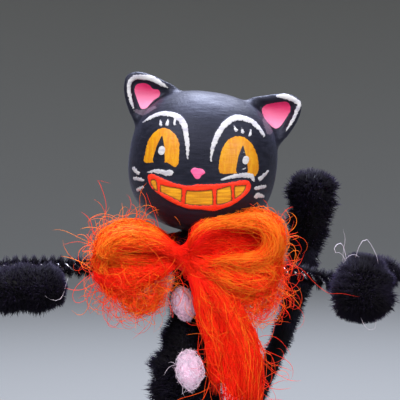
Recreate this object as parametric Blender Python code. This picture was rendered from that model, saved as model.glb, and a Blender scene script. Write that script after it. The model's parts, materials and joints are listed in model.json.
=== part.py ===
"""A pipe cleaner cat: a painted clay head on bent chenille stems, with a tied wool bow.

Metres, +Z up. The cat faces -Y, and its own left is +X. It stands on two paws and on the bend
of its tail. Left and right below are the cat's own.
"""

import math

import bmesh
import bpy
from mathutils import Matrix, Vector

# What keeps two touching pieces apart
GAP = 0.0003

# Heights that stack up from the floor
HIP_HEIGHT = 0.034
TORSO_LENGTH = 0.048
SHOULDER_DROP = 0.0078
KNOT_DROP = 0.0065

# Head, a ball of clay that is fuller than an ellipsoid
HEAD_WIDTH = 0.0362
HEAD_DEPTH = 0.034
HEAD_HEIGHT = 0.0345
HEAD_FULLNESS = 2.4
HEAD_ROLL = math.radians(8.5)
HEAD_SHIFT = 0.0039
NECK_SINK = 0.0008
NECK_REACH = 0.004
EAR_THICKNESS = 0.0048
EAR_RIM = 0.0017
EAR_CUP = 0.0016

# Chenille stems: how far the pile reaches from the wire
THIN_RADIUS = 0.003
PAW_RADIUS = 0.0061
FIST_RADIUS = 0.0077
FOOT_RADIUS = 0.0062
TAIL_TIP_RADIUS = 0.0072
BODY_RADIUS = 0.0092
NECK_RADIUS = 0.0035
PILE_PITCH = 0.0075
PILE_RIDGE = 0.05

# Reach of each limb from where it leaves the body
ARM_REACH = 0.0485
FOOT_LENGTH = 0.021
FOOT_SPREAD = 0.0118
TAIL_REACH = 0.037
TAIL_HEIGHT = 0.098
TAIL_SWAY = 0.033

# Wool: the bow and the two tufts that serve as buttons
BOW_WIDTH = 0.047
LOOP_THICKNESS = 0.0058
LOOP_DEPTH = 0.0088
BOW_TAIL_WIDTH = 0.0068
BOW_TAIL_LENGTH = 0.0415
KNOT_WIDTH = 0.0062
BAND_THICKNESS = 0.0042
WOOL_FURROW = 0.09
UPPER_BUTTON = (0.0058, 0.0046, 0.0094)
LOWER_BUTTON = (0.007, 0.0052, 0.0116)
BUTTON_DROP = 0.0113
BUTTON_GAP = 0.0049
BUTTON_SINK = 0.0005

# Where those sizes put things
TORSO_TOP = HIP_HEIGHT + TORSO_LENGTH
HEAD_CENTRE = Vector((HEAD_SHIFT, 0.0, TORSO_TOP + HEAD_HEIGHT / 2 - NECK_SINK))
SHOULDER_HEIGHT = TORSO_TOP - SHOULDER_DROP
KNOT_CENTRE = Vector((-0.0007, -NECK_RADIUS - 0.74 * LOOP_DEPTH, TORSO_TOP - KNOT_DROP))
SOLE_HEIGHT = FOOT_RADIUS * 0.84

COLOURS = {
    "painted clay": ((0.012, 0.012, 0.018, 1), 0.45),
    "black pile": ((0.006, 0.005, 0.010, 1), 0.85),
    "orange wool": ((0.95, 0.09, 0.008, 1), 0.8),
    "white wool": ((0.80, 0.62, 0.68, 1), 0.85),
}


# Curves and profiles


def smooth_route(points, steps, closed=False):
    """A Catmull-Rom curve through the points, with that many steps between neighbours."""
    knots = [Vector(p) for p in points]
    if closed:
        knots = [knots[-1], *knots, knots[0], knots[1]]
    else:
        knots = [2 * knots[0] - knots[1], *knots, 2 * knots[-1] - knots[-2]]
    route = []
    for before, a, b, after in zip(knots, knots[1:], knots[2:], knots[3:]):
        for step in range(steps):
            t = step / steps
            route.append(
                a
                + 0.5 * t * (b - before)
                + 0.5 * t * t * (2 * before - 5 * a + 4 * b - after)
                + 0.5 * t * t * t * (3 * a - before - 3 * b + after)
            )
    return route if closed else route + [knots[-2]]


def even_route(points, spacing):
    """The smooth route through the points, cut into equal steps of about the spacing."""
    fine = smooth_route(points, 24)
    run = [0.0]
    for a, b in zip(fine, fine[1:]):
        run.append(run[-1] + (b - a).length)
    count = max(2, round(run[-1] / spacing))
    route = []
    k = 0
    for n in range(count + 1):
        target = run[-1] * n / count
        while k < len(fine) - 2 and run[k + 1] < target:
            k += 1
        share = (target - run[k]) / max(run[k + 1] - run[k], 1e-9)
        route.append(fine[k].lerp(fine[k + 1], min(share, 1.0)))
    return route


def read_profile(profile, share):
    """A value read smoothly from (share, value) pairs."""
    for (s0, v0), (s1, v1) in zip(profile, profile[1:]):
        if share <= s1:
            t = min(max((share - s0) / (s1 - s0), 0.0), 1.0)
            return v0 + (v1 - v0) * t * t * (3 - 2 * t)
    return profile[-1][1]


def frames_along(route, closed=False):
    """A matrix at each point whose Z runs along the route and whose X never spins round it."""
    count = len(route)
    frames = []
    side = None
    for n, point in enumerate(route):
        ahead = route[(n + 1) % count] if closed or n < count - 1 else point
        behind = route[n - 1] if closed or n > 0 else point
        along = (ahead - behind).normalized()
        if side is None:
            side = along.orthogonal().normalized()
            flat = Vector((0, -1, 0)) - along * along.dot(Vector((0, -1, 0)))
            side = flat.normalized() if flat.length > 0.2 else side
        side = (side - along * along.dot(side)).normalized()
        frames.append(Matrix((side, along.cross(side), along)).transposed().to_4x4())
        frames[-1].translation = point
    return frames


# Solids


def skin_rings(bm, rings, closed=False):
    """Bridges each ring of edges to the next, and caps the two ends of an open run."""
    for first, second in zip(rings, rings[1:] + rings[:1] if closed else rings[1:]):
        bmesh.ops.bridge_loops(bm, edges=first + second)
    if not closed:
        for ring in (rings[0], rings[-1]):
            bmesh.ops.holes_fill(bm, edges=ring, sides=0)
    bmesh.ops.recalc_face_normals(bm, faces=bm.faces)


def swept(route, radii, sides, relief=None, closed=False):
    """A tube along the route: radii gives its two half-widths at each share of the length."""
    bm = bmesh.new()
    rings = []
    last = len(route) if closed else len(route) - 1
    run = 0.0
    for n, frame in enumerate(frames_along(route, closed)):
        share = n / last
        run += (route[n] - route[n - 1]).length if n else 0.0
        deep, wide = radii(share)
        ring = bmesh.ops.create_circle(bm, segments=sides, radius=1.0, matrix=Matrix())["verts"]
        edges = list({edge for vert in ring for edge in vert.link_edges})
        for vert in ring:
            angle = math.atan2(vert.co.y, vert.co.x)
            swell = relief(angle, run) if relief else 1.0
            vert.co = frame @ Vector((vert.co.x * deep * swell, vert.co.y * wide * swell, 0.0))
        rings.append(edges)
    skin_rings(bm, rings, closed)
    return bm


def pile_relief(angle, run):
    """The low spiral ridge that the twisted wire gives to the pile."""
    return 1.0 + PILE_RIDGE * math.cos(angle - math.tau * run / PILE_PITCH)


def wool_relief(strands, twist):
    """Furrows between strands that run along the wool and turn slowly round it."""
    return lambda angle, run: 1.0 + WOOL_FURROW * math.cos(strands * angle - twist * run)


def chenille(points, profile, sides=8, spacing=0.0022, grow=0.0):
    """A stem of pile round its wire, with round ends. Grown, it is the cutter that clears it."""
    route = even_route(points, spacing)
    if grow:
        route[0] += (route[0] - route[1]).normalized() * grow
        route[-1] += (route[-1] - route[-2]).normalized() * grow

    def radii(share):
        radius = read_profile(profile, share) + grow
        return radius, radius

    return swept(route, radii, sides, pile_relief)


def egg(size, segments=12, rings=8):
    """An ellipsoid of that size about its own centre."""
    bm = bmesh.new()
    bmesh.ops.create_uvsphere(bm, u_segments=segments, v_segments=rings, radius=0.5)
    bmesh.ops.scale(bm, vec=size, verts=bm.verts)
    return bm


def head_ball(grow=0.0, segments=30, rings=18):
    """The head without its ears, fuller than an ellipsoid by the power HEAD_FULLNESS."""
    bm = bmesh.new()
    bmesh.ops.create_uvsphere(bm, u_segments=segments, v_segments=rings, radius=1.0)
    for vert in bm.verts:
        reach = sum(abs(c) ** HEAD_FULLNESS for c in vert.co) ** (-1 / HEAD_FULLNESS)
        vert.co *= reach
    half = (HEAD_WIDTH / 2 + grow, HEAD_DEPTH / 2 + grow, HEAD_HEIGHT / 2 + grow)
    bmesh.ops.scale(bm, vec=half, verts=bm.verts)
    return bm


def ear(side):
    """One ear: a rounded triangle with a raised rim round its cup, and a domed back."""
    corners = (
        (0.24, 0.49), (0.32, 0.52), (0.42, 0.55), (0.515, 0.56), (0.585, 0.53), (0.60, 0.455),
        (0.578, 0.36), (0.533, 0.26), (0.475, 0.18), (0.34, 0.17), (0.21, 0.30),
    )
    bm = bmesh.new()
    front = -EAR_THICKNESS * 0.85
    outline = smooth_route([(side * x * HEAD_WIDTH, front, z * HEAD_HEIGHT) for x, z in corners], 2, True)
    rim_face = bm.faces.new([bm.verts.new(point) for point in outline])
    back = bmesh.ops.extrude_face_region(bm, geom=[rim_face])["geom"]
    back_verts = [v for v in back if isinstance(v, bmesh.types.BMVert)]
    middle = sum((v.co for v in back_verts), Vector()) / len(back_verts)
    pull = Matrix.Translation(middle)
    bmesh.ops.translate(bm, verts=back_verts, vec=(0, EAR_THICKNESS * 0.6, 0))
    back_face = [f for f in back if isinstance(f, bmesh.types.BMFace)]
    dome = bmesh.ops.extrude_face_region(bm, geom=back_face)["geom"]
    bmesh.ops.delete(bm, geom=back_face, context="FACES_ONLY")
    dome_verts = [v for v in dome if isinstance(v, bmesh.types.BMVert)]
    bmesh.ops.translate(bm, verts=dome_verts, vec=(0, EAR_THICKNESS * 0.4, 0))
    bmesh.ops.scale(bm, verts=dome_verts, vec=(0.62, 1, 0.62), space=pull.inverted())
    bmesh.ops.recalc_face_normals(bm, faces=bm.faces)
    bmesh.ops.inset_region(bm, faces=[rim_face], thickness=EAR_RIM, depth=0.0)
    bmesh.ops.inset_region(bm, faces=[rim_face], thickness=EAR_RIM * 0.4, depth=-EAR_CUP)
    bmesh.ops.triangulate(bm, faces=[f for f in bm.faces if len(f.verts) > 4])
    return bm


# Routes of the stems and of the wool


def torso_line():
    """The body's wire, from the hips up into the head, which cuts its end off."""
    return [
        (0.0, 0.0, HIP_HEIGHT),
        (0.0, 0.0, HIP_HEIGHT + 0.5 * TORSO_LENGTH),
        (0.35 * HEAD_SHIFT, 0.0, TORSO_TOP + NECK_REACH),
    ]


def torso_profile():
    """Half the body's width at shares of its height: a full belly, a slim chest, a thin neck."""
    body, neck = BODY_RADIUS, NECK_RADIUS
    return (
        (0.0, 0.5 * body), (0.04, 0.8 * body), (0.11, body), (0.28, body), (0.4, 0.74 * body),
        (0.52, 0.55 * body), (0.74, 0.5 * body), (0.9, neck), (1.0, neck),
    )


def torso_radius(height):
    """Half the body's width at a height above the floor."""
    low, high = torso_line()[0][2], torso_line()[-1][2]
    return read_profile(torso_profile(), (height - low) / (high - low))


def torso(grow=0.0):
    return chenille(torso_line(), torso_profile(), sides=14, spacing=0.0021, grow=grow)


def from_shoulder(side, shares):
    """Points of an arm, given as shares of its reach, out of the shoulder."""
    start = Vector((0.0, 0.0, SHOULDER_HEIGHT))
    return [start + ARM_REACH * Vector((side * x, y, z)) for x, y, z in shares]


def right_arm_stem(grow=0.0):
    """The thin stretch of the right arm and the fold that brings it back."""
    line = from_shoulder(-1, (
        (0.03, 0.0, 0.0), (0.25, 0.01, -0.005), (0.42, 0.01, -0.02), (0.58, 0.01, -0.029),
        (0.74, 0.02, -0.025), (0.91, 0.025, -0.033), (1.04, 0.0, -0.075), (1.082, -0.082, -0.12),
        (1.02, -0.155, -0.135),
    ))
    thin = THIN_RADIUS
    return chenille(line, ((0.0, 0.8 * thin), (0.05, thin), (0.95, thin), (1.0, 0.8 * thin)), grow=grow)


def right_arm_paw(grow=0.0):
    """The fat bump of the right arm, folded back in front of the stem."""
    line = from_shoulder(-1, (
        (1.075, -0.12, -0.13), (0.95, -0.172, -0.131), (0.79, -0.182, -0.128), (0.66, -0.178, -0.122),
        (0.583, -0.168, -0.119),
    ))
    paw = PAW_RADIUS
    profile = (
        (0.0, 0.3 * paw), (0.08, 0.6 * paw), (0.3, 0.95 * paw), (0.55, paw), (0.82, 0.96 * paw),
        (0.93, 0.76 * paw), (1.0, 0.3 * paw),
    )
    return chenille(line, profile, sides=12, spacing=0.002, grow=grow)


def left_arm_stem(grow=0.0):
    """The thin stretch of the left arm, which passes behind its fist and over the top."""
    line = from_shoulder(1, (
        (0.03, 0.0, 0.0), (0.27, 0.0, -0.02), (0.49, 0.01, -0.05), (0.68, 0.03, -0.093),
        (0.82, 0.062, -0.112), (0.95, 0.072, -0.108), (1.03, 0.01, -0.09), (1.02, -0.08, -0.04),
        (0.93, -0.15, 0.0),
    ))
    thin = THIN_RADIUS
    return chenille(line, ((0.0, 0.8 * thin), (0.05, thin), (0.95, thin), (1.0, 0.8 * thin)), grow=grow)


def left_arm_fist(grow=0.0):
    """The fat bump of the left arm, bent down into a fist."""
    line = from_shoulder(1, (
        (0.9, -0.155, 0.045), (0.875, -0.185, -0.06), (0.865, -0.19, -0.16), (0.865, -0.18, -0.305),
    ))
    fist = FIST_RADIUS
    profile = (
        (0.0, 0.28 * fist), (0.08, 0.62 * fist), (0.3, 0.93 * fist), (0.6, fist), (0.85, 0.9 * fist),
        (0.94, 0.72 * fist), (1.0, 0.3 * fist),
    )
    return chenille(line, profile, sides=12, spacing=0.002, grow=grow)


def leg_stem(side):
    """The thin stretch of a leg, from the hip down into its foot."""
    thin = THIN_RADIUS
    hip = 1.15 * thin + 2 * GAP
    ankle = 0.92 * FOOT_SPREAD
    line = [
        (side * 0.7 * hip, 0.0, HIP_HEIGHT + 0.6 * BODY_RADIUS),
        (side * hip, 0.0003, HIP_HEIGHT),
        (side * (0.6 * hip + 0.4 * ankle), 0.0006, 0.72 * HIP_HEIGHT),
        (side * (0.2 * hip + 0.8 * ankle), 0.0004, 0.42 * HIP_HEIGHT),
        (side * ankle, 0.0, SOLE_HEIGHT),
    ]
    return chenille(line, ((0.0, 1.1 * thin), (0.3, 1.05 * thin), (0.7, thin), (1.0, thin)), spacing=0.0025)


def foot(side):
    """The fat bump of a leg, bent forward along the floor."""
    heel = 0.2 * FOOT_LENGTH
    line = [
        (side * 0.9 * FOOT_SPREAD, heel, SOLE_HEIGHT),
        (side * 0.98 * FOOT_SPREAD, heel - 0.5 * FOOT_LENGTH, SOLE_HEIGHT),
        (side * 1.05 * FOOT_SPREAD, heel - FOOT_LENGTH, SOLE_HEIGHT),
    ]
    fat = FOOT_RADIUS
    profile = (
        (0.0, 0.4 * fat), (0.12, 0.78 * fat), (0.4, 0.97 * fat), (0.7, fat), (0.88, 0.8 * fat),
        (1.0, 0.35 * fat),
    )
    return chenille(line, profile, sides=12, spacing=0.0021)


def tail_stem():
    """The tail: down from the back to the floor, then up behind the cat to a fat tip."""
    back = TAIL_REACH
    rise = TAIL_HEIGHT - TAIL_TIP_RADIUS
    low = 0.68 * THIN_RADIUS
    line = [
        (0.0, 0.5 * BODY_RADIUS, HIP_HEIGHT + 0.18 * TORSO_LENGTH),
        (0.02 * TAIL_SWAY, 0.42 * back, HIP_HEIGHT),
        (0.06 * TAIL_SWAY, 0.58 * back, 0.6 * HIP_HEIGHT),
        (0.10 * TAIL_SWAY, 0.71 * back, 0.25 * HIP_HEIGHT),
        (0.17 * TAIL_SWAY, 0.86 * back, low),
        (0.27 * TAIL_SWAY, 0.985 * back, 0.27 * HIP_HEIGHT),
        (0.44 * TAIL_SWAY, 1.02 * back, 0.28 * rise),
        (0.66 * TAIL_SWAY, 0.99 * back, 0.48 * rise),
        (0.84 * TAIL_SWAY, 0.92 * back, 0.66 * rise),
        (0.93 * TAIL_SWAY, 0.86 * back, 0.82 * rise),
        (0.99 * TAIL_SWAY, 0.80 * back, 0.95 * rise),
        (TAIL_SWAY, 0.76 * back, TAIL_HEIGHT),
    ]
    thin, tip = THIN_RADIUS, TAIL_TIP_RADIUS
    profile = (
        (0.0, thin), (0.6, thin), (0.72, 1.2 * thin), (0.84, 0.68 * tip), (0.91, 0.87 * tip), (0.95, tip),
        (0.975, 0.94 * tip), (0.99, 0.68 * tip), (1.0, 0.25 * tip),
    )
    return chenille(line, profile, sides=10, spacing=0.0026)


def from_knot(shares):
    """Points of the bow, given as shares of its half width out of the knot."""
    return [KNOT_CENTRE + BOW_WIDTH / 2 * Vector(share) for share in shares]


def right_loop():
    """The loop on the cat's right: one fold of wool, up, round and back."""
    line = from_knot((
        (-0.06, 0.02, 0.04), (-0.20, -0.05, 0.14), (-0.42, -0.10, 0.24), (-0.68, -0.08, 0.22),
        (-0.86, -0.02, 0.09), (-0.89, 0.02, -0.08), (-0.81, 0.0, -0.24), (-0.60, -0.06, -0.29),
        (-0.33, -0.06, -0.23), (-0.08, 0.0, -0.06),
    ))
    return wool_band(line, ((0.0, 0.62), (0.25, 0.95), (0.5, 1.05), (0.75, 1.0), (1.0, 0.62)))


def left_loop():
    """The larger loop on the cat's left, which stands up against its cheek."""
    line = from_knot((
        (0.08, 0.0, 0.06), (0.22, -0.07, 0.22), (0.42, -0.11, 0.32), (0.66, -0.12, 0.36),
        (0.85, -0.08, 0.31), (0.93, -0.02, 0.15), (0.89, 0.0, -0.04), (0.70, -0.05, -0.12),
        (0.42, -0.06, -0.12), (0.12, 0.0, -0.05),
    ))
    return wool_band(line, ((0.0, 0.65), (0.25, 1.0), (0.5, 1.25), (0.75, 1.05), (1.0, 0.65)))


def left_sag():
    """The lower fold on the cat's left, which sags below the loop."""
    line = from_knot((
        (0.10, 0.0, -0.08), (0.24, -0.04, -0.17), (0.48, -0.06, -0.29), (0.74, -0.03, -0.34),
        (0.92, 0.02, -0.27), (0.96, 0.06, -0.12),
    ))
    return wool_band(line, ((0.0, 0.7), (0.3, 1.15), (0.65, 1.35), (1.0, 0.75)))


def wool_band(line, fullness):
    """A folded band of wool: thin as seen from the front, and deep from front to back."""
    def radii(share):
        full = read_profile(fullness, share)
        return full * LOOP_DEPTH / 2, full * LOOP_THICKNESS / 2

    return swept(even_route(line, 0.0036), radii, 10, wool_relief(4, 90.0))


def loop_web(centre, size):
    """The wool seen inside a loop, between its upper and its lower strand."""
    bm = egg(Vector(size) * BOW_WIDTH / 2, 10, 6)
    bmesh.ops.translate(bm, verts=bm.verts, vec=from_knot([centre])[0])
    return bm


def bow_tail(places, width):
    """An end of the wool, hanging from the knot, given as shares of BOW_TAIL_LENGTH."""
    line = [KNOT_CENTRE + BOW_TAIL_LENGTH * Vector(place) for place in places]

    def radii(share):
        full = read_profile(((0.0, 0.6), (0.25, 0.95), (0.7, 1.0), (0.9, 0.72), (1.0, 0.35)), share)
        return full * 0.36 * BOW_TAIL_WIDTH, full * width / 2

    return swept(even_route(line, 0.0042), radii, 10, wool_relief(5, 60.0))


def neck_band():
    """The wool round the neck, behind the knot."""
    ring = NECK_RADIUS + 0.62 * BAND_THICKNESS
    count = 12
    route = []
    for n in range(count):
        angle = math.tau * n / count
        back = 0.5 + 0.5 * math.sin(angle)
        reach = ring + 0.56 * (1 - back) ** 3 * (-KNOT_CENTRE.y - ring)
        height = KNOT_CENTRE.z + back * 0.6 * KNOT_DROP
        route.append(Vector((ring * math.cos(angle), reach * math.sin(angle), height)))
    half = BAND_THICKNESS / 2
    return swept(route, lambda share: (0.9 * half, 1.05 * half), 8, wool_relief(3, 150.0), closed=True)


def knot():
    """The wrap where the wool is tied."""
    bm = egg((KNOT_WIDTH, KNOT_WIDTH, 1.3 * KNOT_WIDTH), 12, 8)
    bmesh.ops.translate(bm, verts=bm.verts, vec=KNOT_CENTRE)
    return bm


def button(size, level, grow=0.0):
    """A pinch of white wool on the front of the body: level 0 is the upper one."""
    spacing = UPPER_BUTTON[2] / 2 + BUTTON_GAP + LOWER_BUTTON[2] / 2
    height = KNOT_CENTRE.z - BUTTON_DROP - level * spacing
    reach = torso_radius(height) + size[1] / 2 - BUTTON_SINK
    bm = egg([edge + 2 * grow for edge in size], 12, 8)
    for vert in bm.verts:
        angle = math.atan2(vert.co.z, vert.co.x)
        vert.co *= 1.0 + 0.04 * math.cos(6 * angle)
    bmesh.ops.translate(bm, verts=bm.verts, vec=(KNOT_CENTRE.x * (1 - 2 * level), -reach, height))
    return bm


# Objects


def clear_scene():
    for thing in list(bpy.data.objects):
        bpy.data.objects.remove(thing)


def new_object(name, bm, parent, crease=math.radians(50)):
    """A mesh object from a bmesh, with its faces pointing out, smooth but for its creases."""
    bmesh.ops.recalc_face_normals(bm, faces=bm.faces)
    mesh = bpy.data.meshes.new(name)
    bm.to_mesh(mesh)
    bm.free()
    mesh.shade_smooth()
    mesh.set_sharp_from_angle(angle=crease)
    thing = bpy.data.objects.new(name, mesh)
    bpy.context.scene.collection.objects.link(thing)
    thing.parent = parent
    return thing


def new_piece(name, bm, finish, parent):
    """A shown piece with its material."""
    thing = new_object(name, bm, parent)
    thing.data.materials.append(finishes[finish])
    return thing


def tool(name, bm, parent):
    """A hidden shape that is added to a piece or cut from it."""
    thing = new_object(name, bm, parent)
    thing.hide_render = True
    thing.display_type = "WIRE"
    return thing


def combine(piece, tools, operation, folded=False):
    """Adds the tools to the piece, or cuts them from it. A folded tool runs through itself."""
    for thing in tools:
        step = piece.modifiers.new(operation.title(), "BOOLEAN")
        step.operation = operation
        step.solver = "EXACT"
        step.use_self = folded
        step.object = thing


def cut_flat(bm):
    """Cuts off what reaches below the floor, and closes the flat face that is left."""
    geometry = [*bm.verts, *bm.edges, *bm.faces]
    cut = bmesh.ops.bisect_plane(
        bm, geom=geometry, plane_co=(0, 0, 0), plane_no=(0, 0, 1), clear_inner=True
    )["geom_cut"]
    rim = [edge for edge in cut if isinstance(edge, bmesh.types.BMEdge)]
    bmesh.ops.holes_fill(bm, edges=rim, sides=0)
    return bm


def make_finishes():
    """One material for each finish, by name."""
    made = {}
    for name, (colour, roughness) in COLOURS.items():
        finish = bpy.data.materials.new(name)
        finish.use_nodes = True
        shader = finish.node_tree.nodes["Principled BSDF"]
        shader.inputs["Base Color"].default_value = colour
        shader.inputs["Roughness"].default_value = roughness
        shader.inputs["Metallic"].default_value = 0.0
        made[name] = finish
    return made


def make_head(figure):
    """The head with its ears, one solid of clay. The face is painted on it."""
    mount = bpy.data.objects.new("head_frame", None)
    bpy.context.scene.collection.objects.link(mount)
    mount.parent = figure
    mount.location = HEAD_CENTRE
    mount.rotation_euler = (0.0, HEAD_ROLL, 0.0)
    piece = new_piece("head", head_ball(), "painted clay", mount)
    added = [tool(f"ear_{n}", ear(side), mount) for n, side in enumerate((-1, 1))]
    combine(piece, added, "UNION")
    return tool("head_room", head_ball(GAP), mount)


def make_limbs(figure, torso_room, head_room):
    """Arms, legs and tail. Returns the room that the arms take."""
    arms = {
        "right_arm": (right_arm_stem, right_arm_paw),
        "left_arm": (left_arm_stem, left_arm_fist),
    }
    rooms = []
    for name, (stem, bump) in arms.items():
        piece = new_piece(name, stem(), "black pile", figure)
        combine(piece, [tool(f"{name}_bump", bump(), figure)], "UNION")
        combine(piece, [torso_room, head_room], "DIFFERENCE")
        rooms.append(tool(f"{name}_room", stem(GAP), figure))
        rooms.append(tool(f"{name}_bump_room", bump(GAP), figure))
    for name, side in (("right_leg", -1), ("left_leg", 1)):
        piece = new_piece(name, cut_flat(foot(side)), "black pile", figure)
        combine(piece, [tool(f"{name}_stem", leg_stem(side), figure)], "UNION")
        combine(piece, [torso_room], "DIFFERENCE")
    tail = new_piece("tail", cut_flat(tail_stem()), "black pile", figure)
    combine(tail, [torso_room], "DIFFERENCE")
    return rooms


def make_wool(figure, rooms, torso_room):
    """The bow, tied from one length of wool, and the two buttons."""
    button_rooms = []
    for level, (name, size) in enumerate((("upper_button", UPPER_BUTTON), ("lower_button", LOWER_BUTTON))):
        piece = new_piece(name, button(size, level), "white wool", figure)
        combine(piece, [torso_room], "DIFFERENCE")
        button_rooms.append(tool(f"{name}_room", button(size, level, GAP), figure))
    bow = new_piece("bow", knot(), "orange wool", figure)
    lobes = {
        "right_loop": right_loop(),
        "right_web": loop_web((-0.50, 0.02, -0.03), (0.80, 0.24, 0.42)),
        "left_loop": left_loop(),
        "left_web": loop_web((0.52, 0.01, 0.10), (0.80, 0.24, 0.42)),
        "left_sag": left_sag(),
        "thin_tail": bow_tail(
            ((0.03, -0.02, -0.06), (0.09, -0.06, -0.25), (0.155, -0.045, -0.46), (0.185, -0.02, -0.64),
             (0.175, 0.0, -0.80)), 0.82 * BOW_TAIL_WIDTH,
        ),
        "thick_tail": bow_tail(
            ((0.07, -0.02, -0.06), (0.22, -0.05, -0.26), (0.33, -0.03, -0.45), (0.375, 0.0, -0.65),
             (0.385, 0.02, -0.85), (0.375, 0.03, -1.0)), BOW_TAIL_WIDTH,
        ),
        "neck_band": neck_band(),
    }
    combine(bow, [tool(f"bow_{name}", bm, figure) for name, bm in lobes.items()], "UNION", folded=True)
    combine(bow, rooms + button_rooms + [torso_room], "DIFFERENCE")


def centre_on_floor(figure):
    """Puts the middle of the whole figure's outline over the origin, feet on the floor."""
    bpy.context.view_layer.update()
    ready = bpy.context.evaluated_depsgraph_get()
    corners = []
    for thing in bpy.data.objects:
        if thing.type == "MESH" and not thing.hide_render:
            shape = thing.evaluated_get(ready).data
            corners += [thing.matrix_world @ vert.co for vert in shape.vertices]
    middle = [(min(c[axis] for c in corners) + max(c[axis] for c in corners)) / 2 for axis in (0, 1)]
    figure.location = (-middle[0], -middle[1], 0.0)


clear_scene()
finishes = make_finishes()
cat = bpy.data.objects.new("figure", None)
bpy.context.scene.collection.objects.link(cat)
ball_room = make_head(cat)
body = new_piece("torso", torso(), "black pile", cat)
combine(body, [ball_room], "DIFFERENCE")
body_room = tool("torso_room", torso(GAP), cat)
arm_rooms = make_limbs(cat, body_room, ball_room)
make_wool(cat, arm_rooms + [ball_room], body_room)
centre_on_floor(cat)
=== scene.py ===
# %% [markdown]
# A pipe cleaner cat. The real one is a painted clay head on bent chenille stems, with a bow of
# combed wool. Every dressed piece below sits exactly where its plain solid is, so the first
# step loads those solids as a fixed frame and notes how large they are.

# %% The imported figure
import json
import math

import bmesh
import bpy
import numpy as np
from mathutils import Matrix, Vector
from mathutils.bvhtree import BVHTree

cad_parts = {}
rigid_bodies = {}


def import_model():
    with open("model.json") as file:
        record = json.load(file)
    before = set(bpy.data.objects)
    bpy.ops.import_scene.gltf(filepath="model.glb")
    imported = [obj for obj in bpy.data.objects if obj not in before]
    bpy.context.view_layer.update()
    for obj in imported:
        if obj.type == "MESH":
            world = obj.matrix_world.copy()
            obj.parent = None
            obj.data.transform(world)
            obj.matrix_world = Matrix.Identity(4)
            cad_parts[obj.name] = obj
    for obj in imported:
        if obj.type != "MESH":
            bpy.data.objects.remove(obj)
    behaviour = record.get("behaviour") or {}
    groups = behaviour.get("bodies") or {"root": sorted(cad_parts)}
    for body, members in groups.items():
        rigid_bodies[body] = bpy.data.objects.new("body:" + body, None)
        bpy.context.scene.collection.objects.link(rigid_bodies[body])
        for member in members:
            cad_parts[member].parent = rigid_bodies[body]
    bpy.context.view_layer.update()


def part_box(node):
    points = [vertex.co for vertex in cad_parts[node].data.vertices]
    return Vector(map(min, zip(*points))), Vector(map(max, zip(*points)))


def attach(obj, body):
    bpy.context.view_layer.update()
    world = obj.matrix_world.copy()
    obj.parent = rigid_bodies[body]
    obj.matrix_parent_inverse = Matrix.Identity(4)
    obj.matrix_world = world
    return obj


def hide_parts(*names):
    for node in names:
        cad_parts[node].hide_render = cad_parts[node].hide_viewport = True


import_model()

MM = 0.001
FIGURE = np.array((1.1535, -11.673, 0.0)) * MM

# %% [markdown]
# The camera stands level with the cat's chin, an arm's length away, and sees it from the
# ears to the belly. A long lens keeps the small figure free of distortion.

# %% Camera
CAMERA_REACH, CAMERA_LENS, SENSOR_WIDTH = 0.350, 128.57, 36.0
CAMERA_SIDE, CAMERA_HEIGHT = 3.185 * MM, 89.18 * MM


def in_scene(name, data):
    """A new object in the scene, with its origin at the world's."""
    thing = bpy.data.objects.new(name, data)
    bpy.context.scene.collection.objects.link(thing)
    return thing


view_data = bpy.data.cameras.new("view")
view_data.sensor_width, view_data.lens = SENSOR_WIDTH, CAMERA_LENS
view = in_scene("view", view_data)
view.location = Vector(FIGURE) + Vector((CAMERA_SIDE, -CAMERA_REACH, CAMERA_HEIGHT))
view.rotation_euler = (math.radians(90), 0, 0)
bpy.context.scene.camera = view
print("camera at", [round(c, 3) for c in view.location])

# %% [markdown]
# A finish is a tree of shader nodes. The helpers add one node, set its plain values, and
# link every socket that is handed to it, so that each finish below reads as a short list.


# %% Helpers for shader nodes
def connect(tree, node, inputs):
    """Each input is a plain value to set, or a socket to link."""
    for key, value in inputs.items():
        if isinstance(value, bpy.types.NodeSocket):
            tree.links.new(value, node.inputs[key])
        else:
            node.inputs[key].default_value = value


def add(tree, kind, inputs=None, **settings):
    node = tree.nodes.new(kind)
    for name, value in settings.items():
        setattr(node, name, value)
    connect(tree, node, inputs or {})
    return node


def new_finish(name):
    finish = bpy.data.materials.new(name)
    finish.use_nodes = True
    return finish, finish.node_tree, finish.node_tree.nodes["Principled BSDF"]


def blend_colours(tree, share, first, second):
    """A mix of two colours: first where share is 0, second where it is 1."""
    inputs = {0: share, 6: first, 7: second}
    return add(tree, "ShaderNodeMix", inputs, data_type="RGBA").outputs[2]


def maths(tree, operation, *values):
    return add(tree, "ShaderNodeMath", dict(enumerate(values)), operation=operation).outputs[0]


def rescale(tree, value, low, high, to_low=0.0, to_high=1.0):
    inputs = {"Value": value, 1: low, 2: high, 3: to_low, 4: to_high}
    return add(tree, "ShaderNodeMapRange", inputs, interpolation_type="SMOOTHSTEP").outputs[0]


def mix_by(tree, value, low, high, first, second, most=1.0):
    """A mix of two colours by a value: first up to low, and at most this much second from high."""
    return blend_colours(tree, rescale(tree, value, low, high, 0.0, most), first, second)


def noise(tree, place, scale, detail, roughness=0.5):
    inputs = {"Vector": place, "Scale": scale, "Detail": detail, "Roughness": roughness}
    return add(tree, "ShaderNodeTexNoise", inputs).outputs["Fac"]


def stored(tree, name):
    """The number that the mesh carries under this name."""
    return add(tree, "ShaderNodeAttribute", attribute_name=name).outputs["Fac"]


def object_place(tree):
    return add(tree, "ShaderNodeTexCoord").outputs["Object"]


def rgb(red, green, blue):
    return (red, green, blue, 1.0)


print("a colour:", rgb(1.0, 0.5, 0.0))

# %% [markdown]
# The studio is a round, grey bowl: flat where the cat stands, curving up far behind it. One
# profile spun right round its axis gives the same quiet background from every side.

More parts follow.
